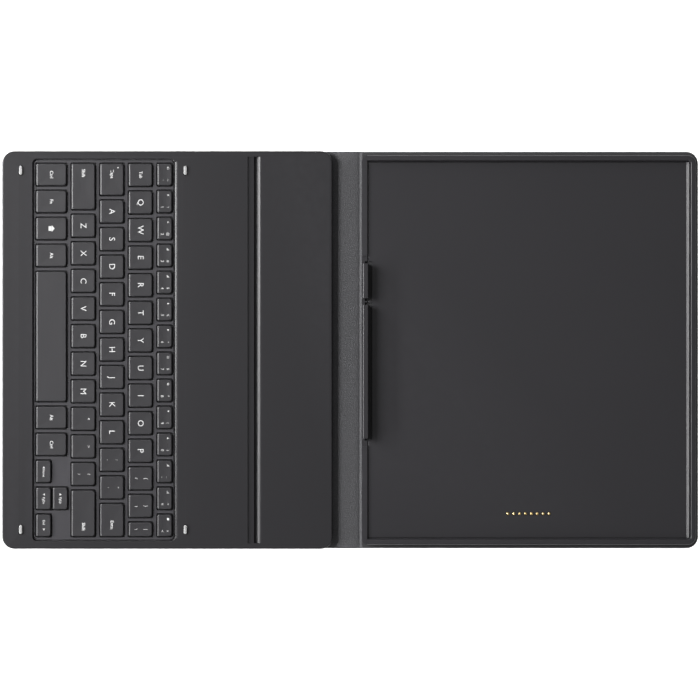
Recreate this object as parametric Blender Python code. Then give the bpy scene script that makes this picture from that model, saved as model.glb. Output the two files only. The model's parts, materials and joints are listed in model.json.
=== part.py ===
"""A folding keyboard case for a 10.3-inch e-paper tablet, lying open and flat on a table.

+X runs to the typist's right, +Y away from the typist and +Z up. The keyboard deck is in front, the
soft spine in the middle and the tablet tray behind. The case folds about three lines along X: one on
each side of the spine and one across the back panel, which lets the tray lean as a stand.
"""

import math

import bmesh
import bpy
from mathutils import Matrix

MM = 0.001
FIT = 0.3 * MM  # gap between two pieces that touch or are glued
DEEP = 20.0 * MM  # how far a cutter runs past the faces it goes through
OFF_PLANE = 0.05 * MM  # keeps the faces of two joined solids out of one plane
CORNER_STEPS = 5  # straight runs in a rounded corner
LEAST_RADIUS = 0.3 * MM  # left on a corner, however far it is inset
COLUMN_SIDES = 10

# the tablet, and the tray moulded round it
TABLET_WIDTH = 226.0 * MM
TABLET_DEPTH = 193.0 * MM
TABLET_CLEAR = 0.2 * MM
RIM_WIDTH = 3.2 * MM
RIM_HEIGHT = 3.0 * MM
FRONT_RIM_HEIGHT = 0.8 * MM  # the rim is lower along the edge by the spine
RIM_ROUND = 0.8 * MM
TRAY_FLOOR = 1.2 * MM
TRAY_FRONT_RADIUS = 3.0 * MM
TRAY_REAR_RADIUS = 5.0 * MM
BORDER_SIDE = 2.6 * MM
BORDER_REAR = 2.0 * MM

# the cover panels behind the deck
SKIN = 0.7 * MM
BOARD = 0.5 * MM
BOARD_INSET = 0.5 * MM
COVER_RADIUS = 7.0 * MM
SPINE_GAP = 17.5 * MM  # from the deck's rear edge to the tray's front edge
SPINE_THICKNESS = 1.2 * MM
FRONT_FOLD_SETBACK = 2.1 * MM  # behind the deck's rear edge
REAR_FOLD_SETBACK = 1.4 * MM  # in front of the tray's front edge
STAND_FOLD_TO_PINS = 4.28 * MM  # from the stand fold back to the first contact pin
FOLD_EDGE = 0.9 * MM  # from a fold line to the panels on each side
REAR_BOARD_EDGE = 1.8 * MM  # from the rear fold line to the stiff board

# the keyboard deck
DECK_DEPTH = 197.7 * MM
DECK_FRONT_RADIUS = 7.5 * MM
DECK_REAR_RADIUS = 7.0 * MM
DECK_WALL = 1.5 * MM
DECK_CEILING = 1.2 * MM
DECK_CHAMFER = 0.6 * MM
BASE_PLATE = 0.6 * MM
MEMBRANE = 0.2 * MM
WELL_DEPTH = 1.0 * MM
WELL_RADIUS = 2.7 * MM
WELL_SETBACK = 18.45 * MM  # behind the deck's front edge
WELL_SIDE_MARGIN = 2.8 * MM
WELL_FRONT_MARGIN = 2.1 * MM
WELL_REAR_MARGIN = 1.8 * MM

# the groove that holds the tray's edge when the case stands
GROOVE_SETBACK = 42.3 * MM  # from the deck's rear edge to the groove's rear lip
GROOVE_WIDTH = 8.1 * MM
GROOVE_DEPTH = 2.1 * MM
GROOVE_STEP = 0.5 * MM
GROOVE_FLAT = 1.3 * MM
GROOVE_REAR_SLOPE = 2.9 * MM
GROOVE_SIDE_MARGIN = 3.5 * MM
RIB_FLOOR = 0.5 * MM
RIB_MARGIN = 3.0 * MM

# the keys
KEY_TRAVEL = 1.0 * MM
KEY_PROUD = 0.1 * MM  # above the deck's top face
CAP_GAP = 3.1 * MM
LETTER_CAP = 13.4 * MM
END_CAP = 8.3 * MM
CAPS_LOCK_CAP = 18.8 * MM
LEFT_SHIFT_CAP = 27.3 * MM
LETTER_COLUMNS = 13
EVEN_COLUMNS = 14
SPACE_COLUMNS = 5
LEFT_MODIFIERS = 4
RIGHT_MODIFIERS = 2
ROW_DEPTHS = (18.0 * MM, 14.0 * MM, 14.0 * MM, 14.0 * MM, 8.7 * MM)  # front row first
ARROW_DEPTH = 8.7 * MM
ARROW_GAP = 1.3 * MM
CAP_WALL = 1.2 * MM
CAP_CEILING = 1.0 * MM
CAP_CHAMFER = 0.5 * MM
WEB_THICKNESS = 0.4 * MM
WEB_WIDTH = 4.0 * MM
WEB_LIFT = 0.05 * MM  # from the cap's lower edge up to the web
OPENING_GAP = 0.7 * MM
FRAME_PLATE = 0.4 * MM
FRAME_SKIRT = 0.6 * MM

# bumpers, electronics and magnets
BUMPER_LENGTH = 5.4 * MM
BUMPER_WIDTH = 1.9 * MM
BUMPER_PROUD = 0.8 * MM
BUMPER_SINK = 0.6 * MM
BUMPER_FROM_SIDE = 11.7 * MM
BUMPER_FROM_FRONT = 11.4 * MM
BUMPER_BEHIND_WELL = 6.3 * MM
CONTROLLER_SIZE = (62.0 * MM, 24.0 * MM, 0.8 * MM)
CONTROLLER_BEHIND_WELL = 20.0 * MM
CHIP_SIZE = 9.0 * MM
TAIL_WIDTH = 16.0 * MM
TAIL_LENGTH = 7.0 * MM
TAIL_ROOT = 2.0 * MM  # of the tail inside the sheet that it leaves
STAND_MAGNET_SIZE = (150.0 * MM, 5.0 * MM, 0.6 * MM)
CLOSURE_MAGNET_SIZE = (60.0 * MM, 6.0 * MM, 1.2 * MM)
CLOSURE_PLATE_SIZE = (70.0 * MM, 12.0 * MM)
CLOSURE_PLATE_FROM_REAR = 22.0 * MM
FLEX_WIDTH = 20.0 * MM
FLEX_THICKNESS = 0.2 * MM
FLEX_OFFSET = 70.0 * MM
FLEX_CHANNEL = 0.8 * MM

# the contact pins in the tray
PIN_COUNT = 8
PIN_PITCH = 3.52 * MM
PIN_RADIUS = 0.8 * MM
PIN_HOLE_GAP = 0.25 * MM
PIN_PROUD = 0.5 * MM
PIN_FROM_WALL = 15.1 * MM
CARRIER_MARGIN = 2.0 * MM
CARRIER_THICKNESS = 0.4 * MM
PIN_POCKET_SKIN = 0.5 * MM
HOUSING_WALL = 1.4 * MM

# the snap clips on the tray's front edge: left end, right end of each, from the case's centre
CLIPS = ((-51.6 * MM, -30.8 * MM), (-27.0 * MM, 52.8 * MM))
CLIP_NOTCH = 4.8 * MM
CLIP_WALL = 2.6 * MM
CLIP_CATCH = 4.9 * MM  # from the tray's floor to the underside of the hook
CLIP_HOOK = 0.8 * MM
CLIP_HOOK_SLOPE = 0.3 * MM
CLIP_CHAMFER = 0.5 * MM
CLIP_HOOK_THICKNESS = 1.0 * MM
CLIP_SLOT = 3.0 * MM
CLIP_RELIEF = 1.5 * MM  # width and depth of the cut at each end of a clip

# heights, worked out from the underside up
PANEL = SKIN + FIT + BOARD
BASE_Z = SKIN + FIT
MEMBRANE_Z = BASE_Z + BASE_PLATE + FIT
KEY_LOW_Z = MEMBRANE_Z + MEMBRANE + FIT
KEY_Z = KEY_LOW_Z + KEY_TRAVEL
FRAME_Z = KEY_Z + WEB_THICKNESS + FIT
FRAME_TOP_Z = FRAME_Z + FRAME_PLATE
STAND_MAGNET_Z = BASE_Z + BASE_PLATE + FIT
GROOVE_LOW_Z = STAND_MAGNET_Z + STAND_MAGNET_SIZE[2] + FIT + RIB_FLOOR
DECK_TOP_Z = max(FRAME_TOP_Z + WELL_DEPTH, GROOVE_LOW_Z + GROOVE_DEPTH)
KEY_TOP_Z = DECK_TOP_Z + KEY_PROUD
CEILING_Z = DECK_TOP_Z - DECK_CEILING
TRAY_Z = PANEL + FIT
SEAT_Z = TRAY_Z + TRAY_FLOOR
RIM_TOP_Z = SEAT_Z + RIM_HEIGHT

# widths, and places along Y from the front edge back
TRAY_WIDTH = TABLET_WIDTH + 2 * (TABLET_CLEAR + RIM_WIDTH)
TRAY_DEPTH = TABLET_DEPTH + 2 * (TABLET_CLEAR + RIM_WIDTH)
HALF_WIDTH = TRAY_WIDTH / 2 + BORDER_SIDE
HALF_DEPTH = (DECK_DEPTH + SPINE_GAP + TRAY_DEPTH + BORDER_REAR) / 2
DECK_FRONT = -HALF_DEPTH
DECK_REAR = DECK_FRONT + DECK_DEPTH
TRAY_FRONT = DECK_REAR + SPINE_GAP
TRAY_REAR = TRAY_FRONT + TRAY_DEPTH
FRONT_FOLD = (DECK_REAR + FRONT_FOLD_SETBACK, SPINE_THICKNESS / 2)
REAR_FOLD = (TRAY_FRONT - REAR_FOLD_SETBACK, SPINE_THICKNESS / 2)
KEY_FIELD = LETTER_COLUMNS * (LETTER_CAP + CAP_GAP) + END_CAP
EVEN_CAP = (KEY_FIELD - (EVEN_COLUMNS - 1) * CAP_GAP) / EVEN_COLUMNS
EVEN_PITCH = EVEN_CAP + CAP_GAP
LETTER_PITCH = LETTER_CAP + CAP_GAP
WELL_HALF_WIDTH = KEY_FIELD / 2 + WELL_SIDE_MARGIN
WELL_FRONT = DECK_FRONT + WELL_SETBACK
KEYS_FRONT = WELL_FRONT + WELL_FRONT_MARGIN
KEYS_REAR = KEYS_FRONT + sum(ROW_DEPTHS) + CAP_GAP * (len(ROW_DEPTHS) - 1)
WELL_REAR = KEYS_REAR + WELL_REAR_MARGIN
GROOVE_REAR = DECK_REAR - GROOVE_SETBACK
GROOVE_FRONT = GROOVE_REAR - GROOVE_WIDTH
SEAT_HALF_WIDTH = TABLET_WIDTH / 2 + TABLET_CLEAR
SEAT_FRONT = TRAY_FRONT + RIM_WIDTH
PIN_X = SEAT_HALF_WIDTH - PIN_FROM_WALL
PIN_Y = (TRAY_FRONT + TRAY_REAR) / 2
PIN_ROW = (PIN_COUNT - 1) * PIN_PITCH
STAND_FOLD = (PIN_Y - PIN_ROW / 2 - STAND_FOLD_TO_PINS, PANEL / 2)

# looks: sRGB colour, roughness, metallic
FINISHES = {
    "deck_plastic": ((0.235, 0.235, 0.245), 0.62, 0.0),
    "frame_plastic": ((0.31, 0.31, 0.32), 0.55, 0.0),
    "key_plastic": ((0.26, 0.26, 0.27), 0.55, 0.0),
    "tray_plastic": ((0.21, 0.21, 0.22), 0.55, 0.0),
    "cover_leather": ((0.27, 0.27, 0.29), 0.75, 0.0),
    "spine_leather": ((0.34, 0.34, 0.35), 0.8, 0.0),
    "board": ((0.29, 0.29, 0.30), 0.8, 0.0),
    "silicone": ((0.72, 0.72, 0.71), 0.6, 0.0),
    "gold": ((0.86, 0.72, 0.45), 0.3, 1.0),
    "steel": ((0.62, 0.62, 0.62), 0.4, 1.0),
    "magnet": ((0.5, 0.5, 0.51), 0.35, 1.0),
    "circuit": ((0.08, 0.22, 0.14), 0.5, 0.0),
    "film": ((0.55, 0.45, 0.25), 0.4, 0.0),
    "black_plastic": ((0.06, 0.06, 0.06), 0.5, 0.0),
}


def linear(channel):
    """One sRGB channel as linear light."""
    return channel / 12.92 if channel <= 0.04045 else ((channel + 0.055) / 1.055) ** 2.4


def finish(name):
    """The named finish as a material, made once."""
    found = bpy.data.materials.get(name)
    if found:
        return found
    colour, roughness, metallic = FINISHES[name]
    made = bpy.data.materials.new(name)
    made.use_nodes = True
    shader = made.node_tree.nodes["Principled BSDF"]
    shader.inputs["Base Color"].default_value = (*map(linear, colour), 1.0)
    shader.inputs["Roughness"].default_value = roughness
    shader.inputs["Metallic"].default_value = metallic
    return made


def add(name, bm, finish_name, parent=None, cutter=False):
    """The bmesh as an object, with its finish and, on a moving piece, its fold or slide as parent."""
    mesh = bpy.data.meshes.new(name)
    bmesh.ops.recalc_face_normals(bm, faces=bm.faces)
    bm.to_mesh(mesh)
    bm.free()
    obj = bpy.data.objects.new(name, mesh)
    bpy.context.scene.collection.objects.link(obj)
    if cutter:
        obj.hide_render = True
        obj.display_type = "WIRE"
        return obj
    mesh.materials.append(finish(finish_name))
    if parent:
        mesh.transform(Matrix.Translation(-parent.location))
        obj.parent = parent
    return obj


def combine(obj, tool, operation):
    """Cuts the tool from the object, or joins it on, with an exact Boolean."""
    boolean = obj.modifiers.new(tool.name, "BOOLEAN")
    boolean.operation = operation
    boolean.solver = "EXACT"
    boolean.object = tool
    if obj.parent:
        tool.parent = obj.parent
        tool.data.transform(Matrix.Translation(-obj.parent.location))


def outline(low, high, radii, inset=0.0):
    """A rectangle with rounded corners, anticlockwise from front left; radii go front, then rear."""
    points = []
    front, rear = radii
    corners = ((high[0], low[1], front, -90), (high[0], high[1], rear, 0))
    corners += ((low[0], high[1], rear, 90), (low[0], low[1], front, 180))
    for x, y, radius, start in corners:
        r = max(radius - inset, LEAST_RADIUS)
        cx = x - math.copysign(inset + r, x - (low[0] + high[0]) / 2)
        cy = y - math.copysign(inset + r, y - (low[1] + high[1]) / 2)
        for k in range(CORNER_STEPS + 1):
            angle = math.radians(start + 90 * k / CORNER_STEPS)
            points.append((cx + r * math.cos(angle), cy + r * math.sin(angle)))
    return points


def stack(rings):
    """A closed solid through rings of equally many (x, y, z) points, with a flat cap at each end."""
    bm = bmesh.new()
    loops = [[bm.verts.new(p) for p in ring] for ring in rings]
    for below, above in zip(loops, loops[1:]):
        for k in range(len(below)):
            m = (k + 1) % len(below)
            bm.faces.new((below[k], below[m], above[m], above[k]))
    bm.faces.new(list(reversed(loops[0])))
    bm.faces.new(loops[-1])
    return bm


def slab(low, high, radii, levels):
    """A rounded slab, or a tray where the levels turn back down: (inset, z) pairs in order."""
    return stack([[(x, y, z) for x, y in outline(low, high, radii, inset)] for inset, z in levels])


def box(low, high):
    """A plain closed box between two corners."""
    bm = bmesh.new()
    bmesh.ops.create_cube(bm, size=1.0)
    size = [b - a for a, b in zip(low, high)]
    centre = [(a + b) / 2 for a, b in zip(low, high)]
    bmesh.ops.transform(bm, matrix=Matrix.Diagonal((*size, 1.0)), verts=bm.verts)
    bmesh.ops.translate(bm, vec=centre, verts=bm.verts)
    return bm


def centred_box(x, y, z, size):
    """A box of the given width, depth and height, centred on x and y, with its underside at z."""
    w, d, h = size
    return box((x - w / 2, y - d / 2, z), (x + w / 2, y + d / 2, z + h))


def many(solids):
    """Several closed solids in one bmesh, used as one cutter."""
    whole = bmesh.new()
    for solid in solids:
        piece = bpy.data.meshes.new("piece")
        solid.to_mesh(piece)
        solid.free()
        whole.from_mesh(piece)
        bpy.data.meshes.remove(piece)
    return whole


def bar(profile, half_width):
    """A solid along X with the given (y, z) outline."""
    return stack([[(x, y, z) for y, z in profile] for x in (-half_width, half_width)])


def column(x, y, radius, z_low, z_high):
    """An upright round column."""
    bm = bmesh.new()
    sizes = {"radius1": radius, "radius2": radius, "depth": z_high - z_low}
    bmesh.ops.create_cone(bm, cap_ends=True, segments=COLUMN_SIDES, **sizes)
    bmesh.ops.translate(bm, vec=(x, y, (z_low + z_high) / 2), verts=bm.verts)
    return bm


def pill(x, y, length, width, z_low, z_high, grow=0.0):
    """An upright block with half-round ends, long along X."""
    low = (x - length / 2 - grow, y - width / 2 - grow)
    high = (x + length / 2 + grow, y + width / 2 + grow)
    radius = width / 2 + grow - OFF_PLANE / 5
    return slab(low, high, (radius, radius), [(0, z_low), (0, z_high)])


def joint_empty(name, y, z):
    """An empty on a fold line, which its moving pieces are parented to."""
    empty = bpy.data.objects.new(name, None)
    empty.location = (0, y, z)
    bpy.context.scene.collection.objects.link(empty)
    return empty


def key_rows():
    """Every key: {group: [(left, right, front, rear), ...]}, where most groups hold one key."""
    left = -KEY_FIELD / 2
    right = KEY_FIELD / 2
    rows = []
    front = KEYS_FRONT
    for depth in ROW_DEPTHS:
        rows.append((front, front + depth))
        front += depth + CAP_GAP
    bottom, lower, home, upper, numbers = rows
    keys = {}

    def put(group, start, width, row):
        keys.setdefault(group, []).append((start, start + width, *row))

    for column_index in range(EVEN_COLUMNS):
        side = "left" if column_index < EVEN_COLUMNS // 2 else "right"
        put(f"number_keys_{side}", left + column_index * EVEN_PITCH, EVEN_CAP, numbers)

    put("key_tab", left, LETTER_CAP, upper)
    for n, letter in enumerate("qwertyuiop"):
        put(f"key_{letter}", left + (n + 1) * LETTER_PITCH, LETTER_CAP, upper)
    for n in (LETTER_COLUMNS - 2, LETTER_COLUMNS - 1):
        put("bracket_keys", left + n * LETTER_PITCH, LETTER_CAP, upper)
    put("bracket_keys", right - END_CAP, END_CAP, upper)

    put("key_caps_lock", left, CAPS_LOCK_CAP, home)
    start = left + CAPS_LOCK_CAP + CAP_GAP
    for letter in "asdfghjkl":
        put(f"key_{letter}", start, LETTER_CAP, home)
        start += LETTER_PITCH
    for _ in ";'":
        put("enter_keys", start, LETTER_CAP, home)
        start += LETTER_PITCH
    put("enter_keys", start, right - start, home)

    put("key_shift_left", left, LEFT_SHIFT_CAP, lower)
    start = left + LEFT_SHIFT_CAP + CAP_GAP
    for letter in "zxcvbnm":
        put(f"key_{letter}", start, LETTER_CAP, lower)
        start += LETTER_PITCH
    for _ in ",./":
        put("right_shift_keys", start, LETTER_CAP, lower)
        start += LETTER_PITCH
    put("right_shift_keys", start, right - start, lower)

    for n in range(LEFT_MODIFIERS):
        put("left_modifier_keys", left + n * EVEN_PITCH, EVEN_CAP, bottom)
    start = left + LEFT_MODIFIERS * EVEN_PITCH
    space = SPACE_COLUMNS * EVEN_PITCH - CAP_GAP
    put("key_space", start, space, bottom)
    start += space + CAP_GAP
    for n in range(RIGHT_MODIFIERS):
        put("right_modifier_keys", start + n * EVEN_PITCH, EVEN_CAP, bottom)
    start += RIGHT_MODIFIERS * EVEN_PITCH
    low = (bottom[0], bottom[0] + ARROW_DEPTH)
    high = (low[1] + ARROW_GAP, low[1] + ARROW_GAP + ARROW_DEPTH)
    for n, row in ((0, low), (1, low), (1, high), (2, low)):
        put("arrow_keys", start + n * EVEN_PITCH, EVEN_CAP, row)
    return keys


def cap(left, right, front, rear):
    """One hollow keycap with a chamfered top edge."""
    levels = [(CAP_WALL, KEY_TOP_Z - CAP_CEILING), (CAP_WALL, KEY_Z), (0, KEY_Z)]
    levels += [(0, KEY_TOP_Z - CAP_CHAMFER), (CAP_CHAMFER, KEY_TOP_Z)]
    rings = []
    for inset, z in levels:
        x0, x1, y0, y1 = left + inset, right - inset, front + inset, rear - inset
        rings.append([(x0, y0, z), (x1, y0, z), (x1, y1, z), (x0, y1, z)])
    return stack(rings)


def web(caps):
    """The strips that tie neighbouring caps of one group together under the key frame."""
    front_caps = sorted(c for c in caps if c[2] == caps[0][2])
    y = (front_caps[0][2] + front_caps[0][3]) / 2
    half = WEB_WIDTH / 2
    x0 = front_caps[0][0] + CAP_WALL / 2
    x1 = front_caps[-1][1] - CAP_WALL / 2
    z0 = KEY_Z + WEB_LIFT
    z1 = KEY_Z + WEB_THICKNESS
    strips = [box((x0, y - half, z0), (x1, y + half, z1))]
    for c in caps:
        if c not in front_caps:
            x = (c[0] + c[1]) / 2
            low = (x - half, y + half / 2, z0 + OFF_PLANE)
            high = (x + half, c[3] - CAP_WALL / 2, z1 - OFF_PLANE)
            strips.append(box(low, high))
    return strips


def make_keys():
    """Each key or group of keys as its own node."""
    for name, caps in key_rows().items():
        obj = add(name, cap(*caps[0]), "key_plastic")
        if len(caps) > 1:
            for n, c in enumerate(caps[1:]):
                combine(obj, add(f"{name}_cap_{n}", cap(*c), None, cutter=True), "UNION")
            for n, strip in enumerate(web(caps)):
                combine(obj, add(f"{name}_web_{n}", strip, None, cutter=True), "UNION")


def make_key_frame():
    """The lattice between the keys: a thin plate with a skirt, and an opening for each key."""
    low = (-WELL_HALF_WIDTH + FIT, WELL_FRONT + FIT)
    high = (WELL_HALF_WIDTH - FIT, WELL_REAR - FIT)
    radii = (WELL_RADIUS, WELL_RADIUS)
    levels = [(FRAME_SKIRT, FRAME_Z), (FRAME_SKIRT, KEY_LOW_Z), (0, KEY_LOW_Z), (0, FRAME_TOP_Z)]
    frame = add("key_frame", slab(low, high, radii, levels), "frame_plastic")
    openings = []
    for name, caps in key_rows().items():
        paired = [c for c in caps if name == "arrow_keys" and c[0] == caps[1][0]]
        for c in caps:
            if paired and c is paired[1]:
                continue
            rear = paired[1][3] if paired and c is paired[0] else c[3]
            low = (c[0] - OPENING_GAP, c[2] - OPENING_GAP, FRAME_Z - FIT)
            high = (c[1] + OPENING_GAP, rear + OPENING_GAP, FRAME_TOP_Z + DEEP)
            openings.append(box(low, high))
    combine(frame, add("key_openings", many(openings), None, cutter=True), "DIFFERENCE")


def bumper_places():
    """The centres of the four bumpers."""
    x = HALF_WIDTH - BUMPER_FROM_SIDE
    front = DECK_FRONT + BUMPER_FROM_FRONT
    rear = WELL_REAR + BUMPER_BEHIND_WELL
    places = {"front_left": (-x, front), "front_right": (x, front)}
    places.update({"rear_left": (-x, rear), "rear_right": (x, rear)})
    return places


def make_deck_case():
    """The deck's moulded top: a rounded shell with the keyboard well, the stand groove and bumper pockets."""
    low = (-HALF_WIDTH, DECK_FRONT)
    high = (HALF_WIDTH, DECK_REAR)
    radii = (DECK_FRONT_RADIUS, DECK_REAR_RADIUS)
    levels = [(DECK_WALL, CEILING_Z), (DECK_WALL, BASE_Z), (0, BASE_Z)]
    levels += [(0, DECK_TOP_Z - DECK_CHAMFER), (DECK_CHAMFER, DECK_TOP_Z)]
    case = add("deck_top_case", slab(low, high, radii, levels), "deck_plastic")

    floor_z = DECK_TOP_Z - GROOVE_DEPTH
    rib_x = HALF_WIDTH - DECK_WALL / 2
    rib = box(
        (-rib_x, GROOVE_FRONT - RIB_MARGIN, floor_z - RIB_FLOOR),
        (rib_x, GROOVE_REAR + RIB_MARGIN, DECK_TOP_Z - DECK_CEILING / 2),
    )
    combine(case, add("groove_rib", rib, None, cutter=True), "UNION")

    profile = (
        (GROOVE_FRONT, DECK_TOP_Z + DEEP),
        (GROOVE_FRONT, DECK_TOP_Z - GROOVE_STEP),
        (GROOVE_REAR - GROOVE_REAR_SLOPE - GROOVE_FLAT, floor_z),
        (GROOVE_REAR - GROOVE_REAR_SLOPE, floor_z),
        (GROOVE_REAR, DECK_TOP_Z),
        (GROOVE_REAR, DECK_TOP_Z + DEEP),
    )
    groove = bar(profile, HALF_WIDTH - GROOVE_SIDE_MARGIN)
    combine(case, add("groove_cut", groove, None, cutter=True), "DIFFERENCE")

    well_low = (-WELL_HALF_WIDTH, WELL_FRONT)
    well_high = (WELL_HALF_WIDTH, WELL_REAR)
    levels = [(0, CEILING_Z - FIT), (0, DECK_TOP_Z + DEEP)]
    well = slab(well_low, well_high, (WELL_RADIUS, WELL_RADIUS), levels)
    combine(case, add("well_cut", well, None, cutter=True), "DIFFERENCE")

    pockets = [
        pill(x, y, BUMPER_LENGTH, BUMPER_WIDTH, DECK_TOP_Z - BUMPER_SINK, DECK_TOP_Z + DEEP, FIT)
        for x, y in bumper_places().values()
    ]
    combine(case, add("bumper_pockets", many(pockets), None, cutter=True), "DIFFERENCE")


def make_bumpers():
    """Four silicone bumpers that hold the closed tablet off the deck."""
    for where, (x, y) in bumper_places().items():
        z0 = DECK_TOP_Z - BUMPER_SINK + FIT
        body = pill(x, y, BUMPER_LENGTH, BUMPER_WIDTH, z0, DECK_TOP_Z + BUMPER_PROUD)
        add(f"bumper_{where}", body, "silicone")


def make_deck_insides():
    """The base plate, the switch membrane, the controller board and the magnets."""
    inset = DECK_WALL + FIT
    low = (-HALF_WIDTH, DECK_FRONT)
    high = (HALF_WIDTH, DECK_REAR)
    radii = (DECK_FRONT_RADIUS, DECK_REAR_RADIUS)
    plate = slab(low, high, radii, [(inset, BASE_Z), (inset, BASE_Z + BASE_PLATE)])
    add("deck_base_plate", plate, "steel")

    low = (-WELL_HALF_WIDTH + FIT, WELL_FRONT + FIT)
    high = (WELL_HALF_WIDTH - FIT, WELL_REAR - FIT)
    levels = [(0, MEMBRANE_Z), (0, MEMBRANE_Z + MEMBRANE)]
    sheet = slab(low, high, (WELL_RADIUS, WELL_RADIUS), levels)
    membrane = add("switch_membrane", sheet, "film")
    tail = box(
        (-TAIL_WIDTH / 2, WELL_REAR - TAIL_ROOT, MEMBRANE_Z + OFF_PLANE),
        (TAIL_WIDTH / 2, WELL_REAR + TAIL_LENGTH, MEMBRANE_Z + MEMBRANE - OFF_PLANE),
    )
    combine(membrane, add("membrane_tail", tail, None, cutter=True), "UNION")

    board_y = WELL_REAR + CONTROLLER_BEHIND_WELL
    board = centred_box(0, board_y, MEMBRANE_Z, CONTROLLER_SIZE)
    controller = add("controller_board", board, "circuit")
    chip_z = MEMBRANE_Z + CONTROLLER_SIZE[2] / 2
    chip = centred_box(0, board_y, chip_z, (CHIP_SIZE, CHIP_SIZE, CONTROLLER_SIZE[2]))
    combine(controller, add("controller_chip", chip, None, cutter=True), "UNION")

    groove_y = GROOVE_REAR - GROOVE_REAR_SLOPE
    add("stand_magnet", centred_box(0, groove_y, STAND_MAGNET_Z, STAND_MAGNET_SIZE), "magnet")
    front_y = (DECK_FRONT + WELL_FRONT) / 2
    add("closure_magnet", centred_box(0, front_y, STAND_MAGNET_Z, CLOSURE_MAGNET_SIZE), "magnet")


def make_front_cover():
    """The soft skin under the deck, as far as the front fold."""
    low = (-HALF_WIDTH, DECK_FRONT)
    high = (HALF_WIDTH, FRONT_FOLD[0] - FOLD_EDGE)
    skin = slab(low, high, (DECK_FRONT_RADIUS, 0), [(0, 0), (0, SKIN)])
    add("front_cover_skin", skin, "cover_leather")


def make_spine(fold):
    """The flexible strip between deck and tray, with a channel for the ribbon cable."""
    front = FRONT_FOLD[0] + FOLD_EDGE
    rear = REAR_FOLD[0] - FOLD_EDGE
    strip = box((-HALF_WIDTH, front, 0), (HALF_WIDTH, rear, SPINE_THICKNESS))
    spine = add("spine_cover", strip, "spine_leather", fold)
    half = FLEX_WIDTH / 2 + FIT
    channel = box(
        (FLEX_OFFSET - half, front - DEEP, SPINE_THICKNESS - FLEX_CHANNEL),
        (FLEX_OFFSET + half, rear + DEEP, SPINE_THICKNESS + DEEP),
    )
    combine(spine, add("ribbon_channel", channel, None, cutter=True), "DIFFERENCE")
    z = SPINE_THICKNESS - FLEX_CHANNEL + FIT
    size = (FLEX_WIDTH, rear - front, FLEX_THICKNESS)
    add("ribbon_cable", centred_box(FLEX_OFFSET, (front + rear) / 2, z, size), "film", fold)


def make_back_panels(rear_fold, stand_fold):
    """The back panel: a short half below the stand fold and a long half above it, each skin and board."""
    skin_levels = [(0, 0), (0, SKIN)]
    board_levels = [(0, SKIN + FIT), (0, PANEL)]
    half_board = HALF_WIDTH - BOARD_INSET
    low = (-HALF_WIDTH, REAR_FOLD[0] + FOLD_EDGE)
    high = (HALF_WIDTH, STAND_FOLD[0] - FOLD_EDGE)
    skin = slab(low, high, (0, 0), skin_levels)
    add("lower_back_skin", skin, "cover_leather", rear_fold)
    low = (-half_board, REAR_FOLD[0] + REAR_BOARD_EDGE)
    high = (half_board, STAND_FOLD[0] - FOLD_EDGE)
    stiffener = slab(low, high, (0, 0), board_levels)
    add("lower_back_board", stiffener, "board", rear_fold)

    radii = (0, COVER_RADIUS)
    low = (-HALF_WIDTH, STAND_FOLD[0] + FOLD_EDGE)
    skin = slab(low, (HALF_WIDTH, HALF_DEPTH), radii, skin_levels)
    add("upper_back_skin", skin, "cover_leather", stand_fold)
    low = (-half_board, STAND_FOLD[0] + FOLD_EDGE)
    stiffener = slab(low, (half_board, HALF_DEPTH - BOARD_INSET), radii, board_levels)
    board = add("upper_back_board", stiffener, "board", stand_fold)

    wide, deep = CLOSURE_PLATE_SIZE
    plate_y = TRAY_REAR - CLOSURE_PLATE_FROM_REAR
    windows = [
        housing_block(SKIN, PANEL + FIT, FIT),
        centred_box(0, plate_y, SKIN, (wide + 2 * FIT, deep + 2 * FIT, PANEL)),
    ]
    combine(board, add("board_windows", many(windows), None, cutter=True), "DIFFERENCE")
    plate = centred_box(0, plate_y, SKIN + FIT, (wide, deep, BOARD))
    add("closure_plate", plate, "steel", stand_fold)


def housing_block(z_low, z_high, grow=0.0):
    """The block that the contact pins' housing fills, or the pocket for it when grown."""
    half_x = PIN_RADIUS + CARRIER_MARGIN / 2 + HOUSING_WALL + FIT + grow
    half_y = PIN_ROW / 2 + CARRIER_MARGIN + HOUSING_WALL + FIT + grow
    return box((PIN_X - half_x, PIN_Y - half_y, z_low), (PIN_X + half_x, PIN_Y + half_y, z_high))


def pin_places():
    """The centre of each contact pin."""
    return [(PIN_X, PIN_Y + (n - (PIN_COUNT - 1) / 2) * PIN_PITCH) for n in range(PIN_COUNT)]


def make_contacts(fold):
    """The pins' housing, a ring round the pins' carrier, and the eight sprung pins on their carrier."""
    housing_z = SKIN + FIT
    top_z = SEAT_Z - PIN_POCKET_SKIN - FIT
    housing = add("contact_housing", housing_block(housing_z, top_z), "black_plastic", fold)
    half_x = PIN_RADIUS + CARRIER_MARGIN / 2 + FIT
    half_y = PIN_ROW / 2 + CARRIER_MARGIN + FIT
    hollow = box((PIN_X - half_x, PIN_Y - half_y, -DEEP), (PIN_X + half_x, PIN_Y + half_y, DEEP))
    combine(housing, add("housing_hollow", hollow, None, cutter=True), "DIFFERENCE")

    carrier_top = SEAT_Z - PIN_POCKET_SKIN - FIT
    carrier_z = carrier_top - CARRIER_THICKNESS
    size = (2 * (half_x - FIT), 2 * (half_y - FIT), CARRIER_THICKNESS)
    pins = add("contact_pins", centred_box(PIN_X, PIN_Y, carrier_z, size), "gold", fold)
    low_z = carrier_z + CARRIER_THICKNESS / 2
    columns = [column(x, y, PIN_RADIUS, low_z, SEAT_Z + PIN_PROUD) for x, y in pin_places()]
    combine(pins, add("pin_columns", many(columns), None, cutter=True), "UNION")


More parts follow.
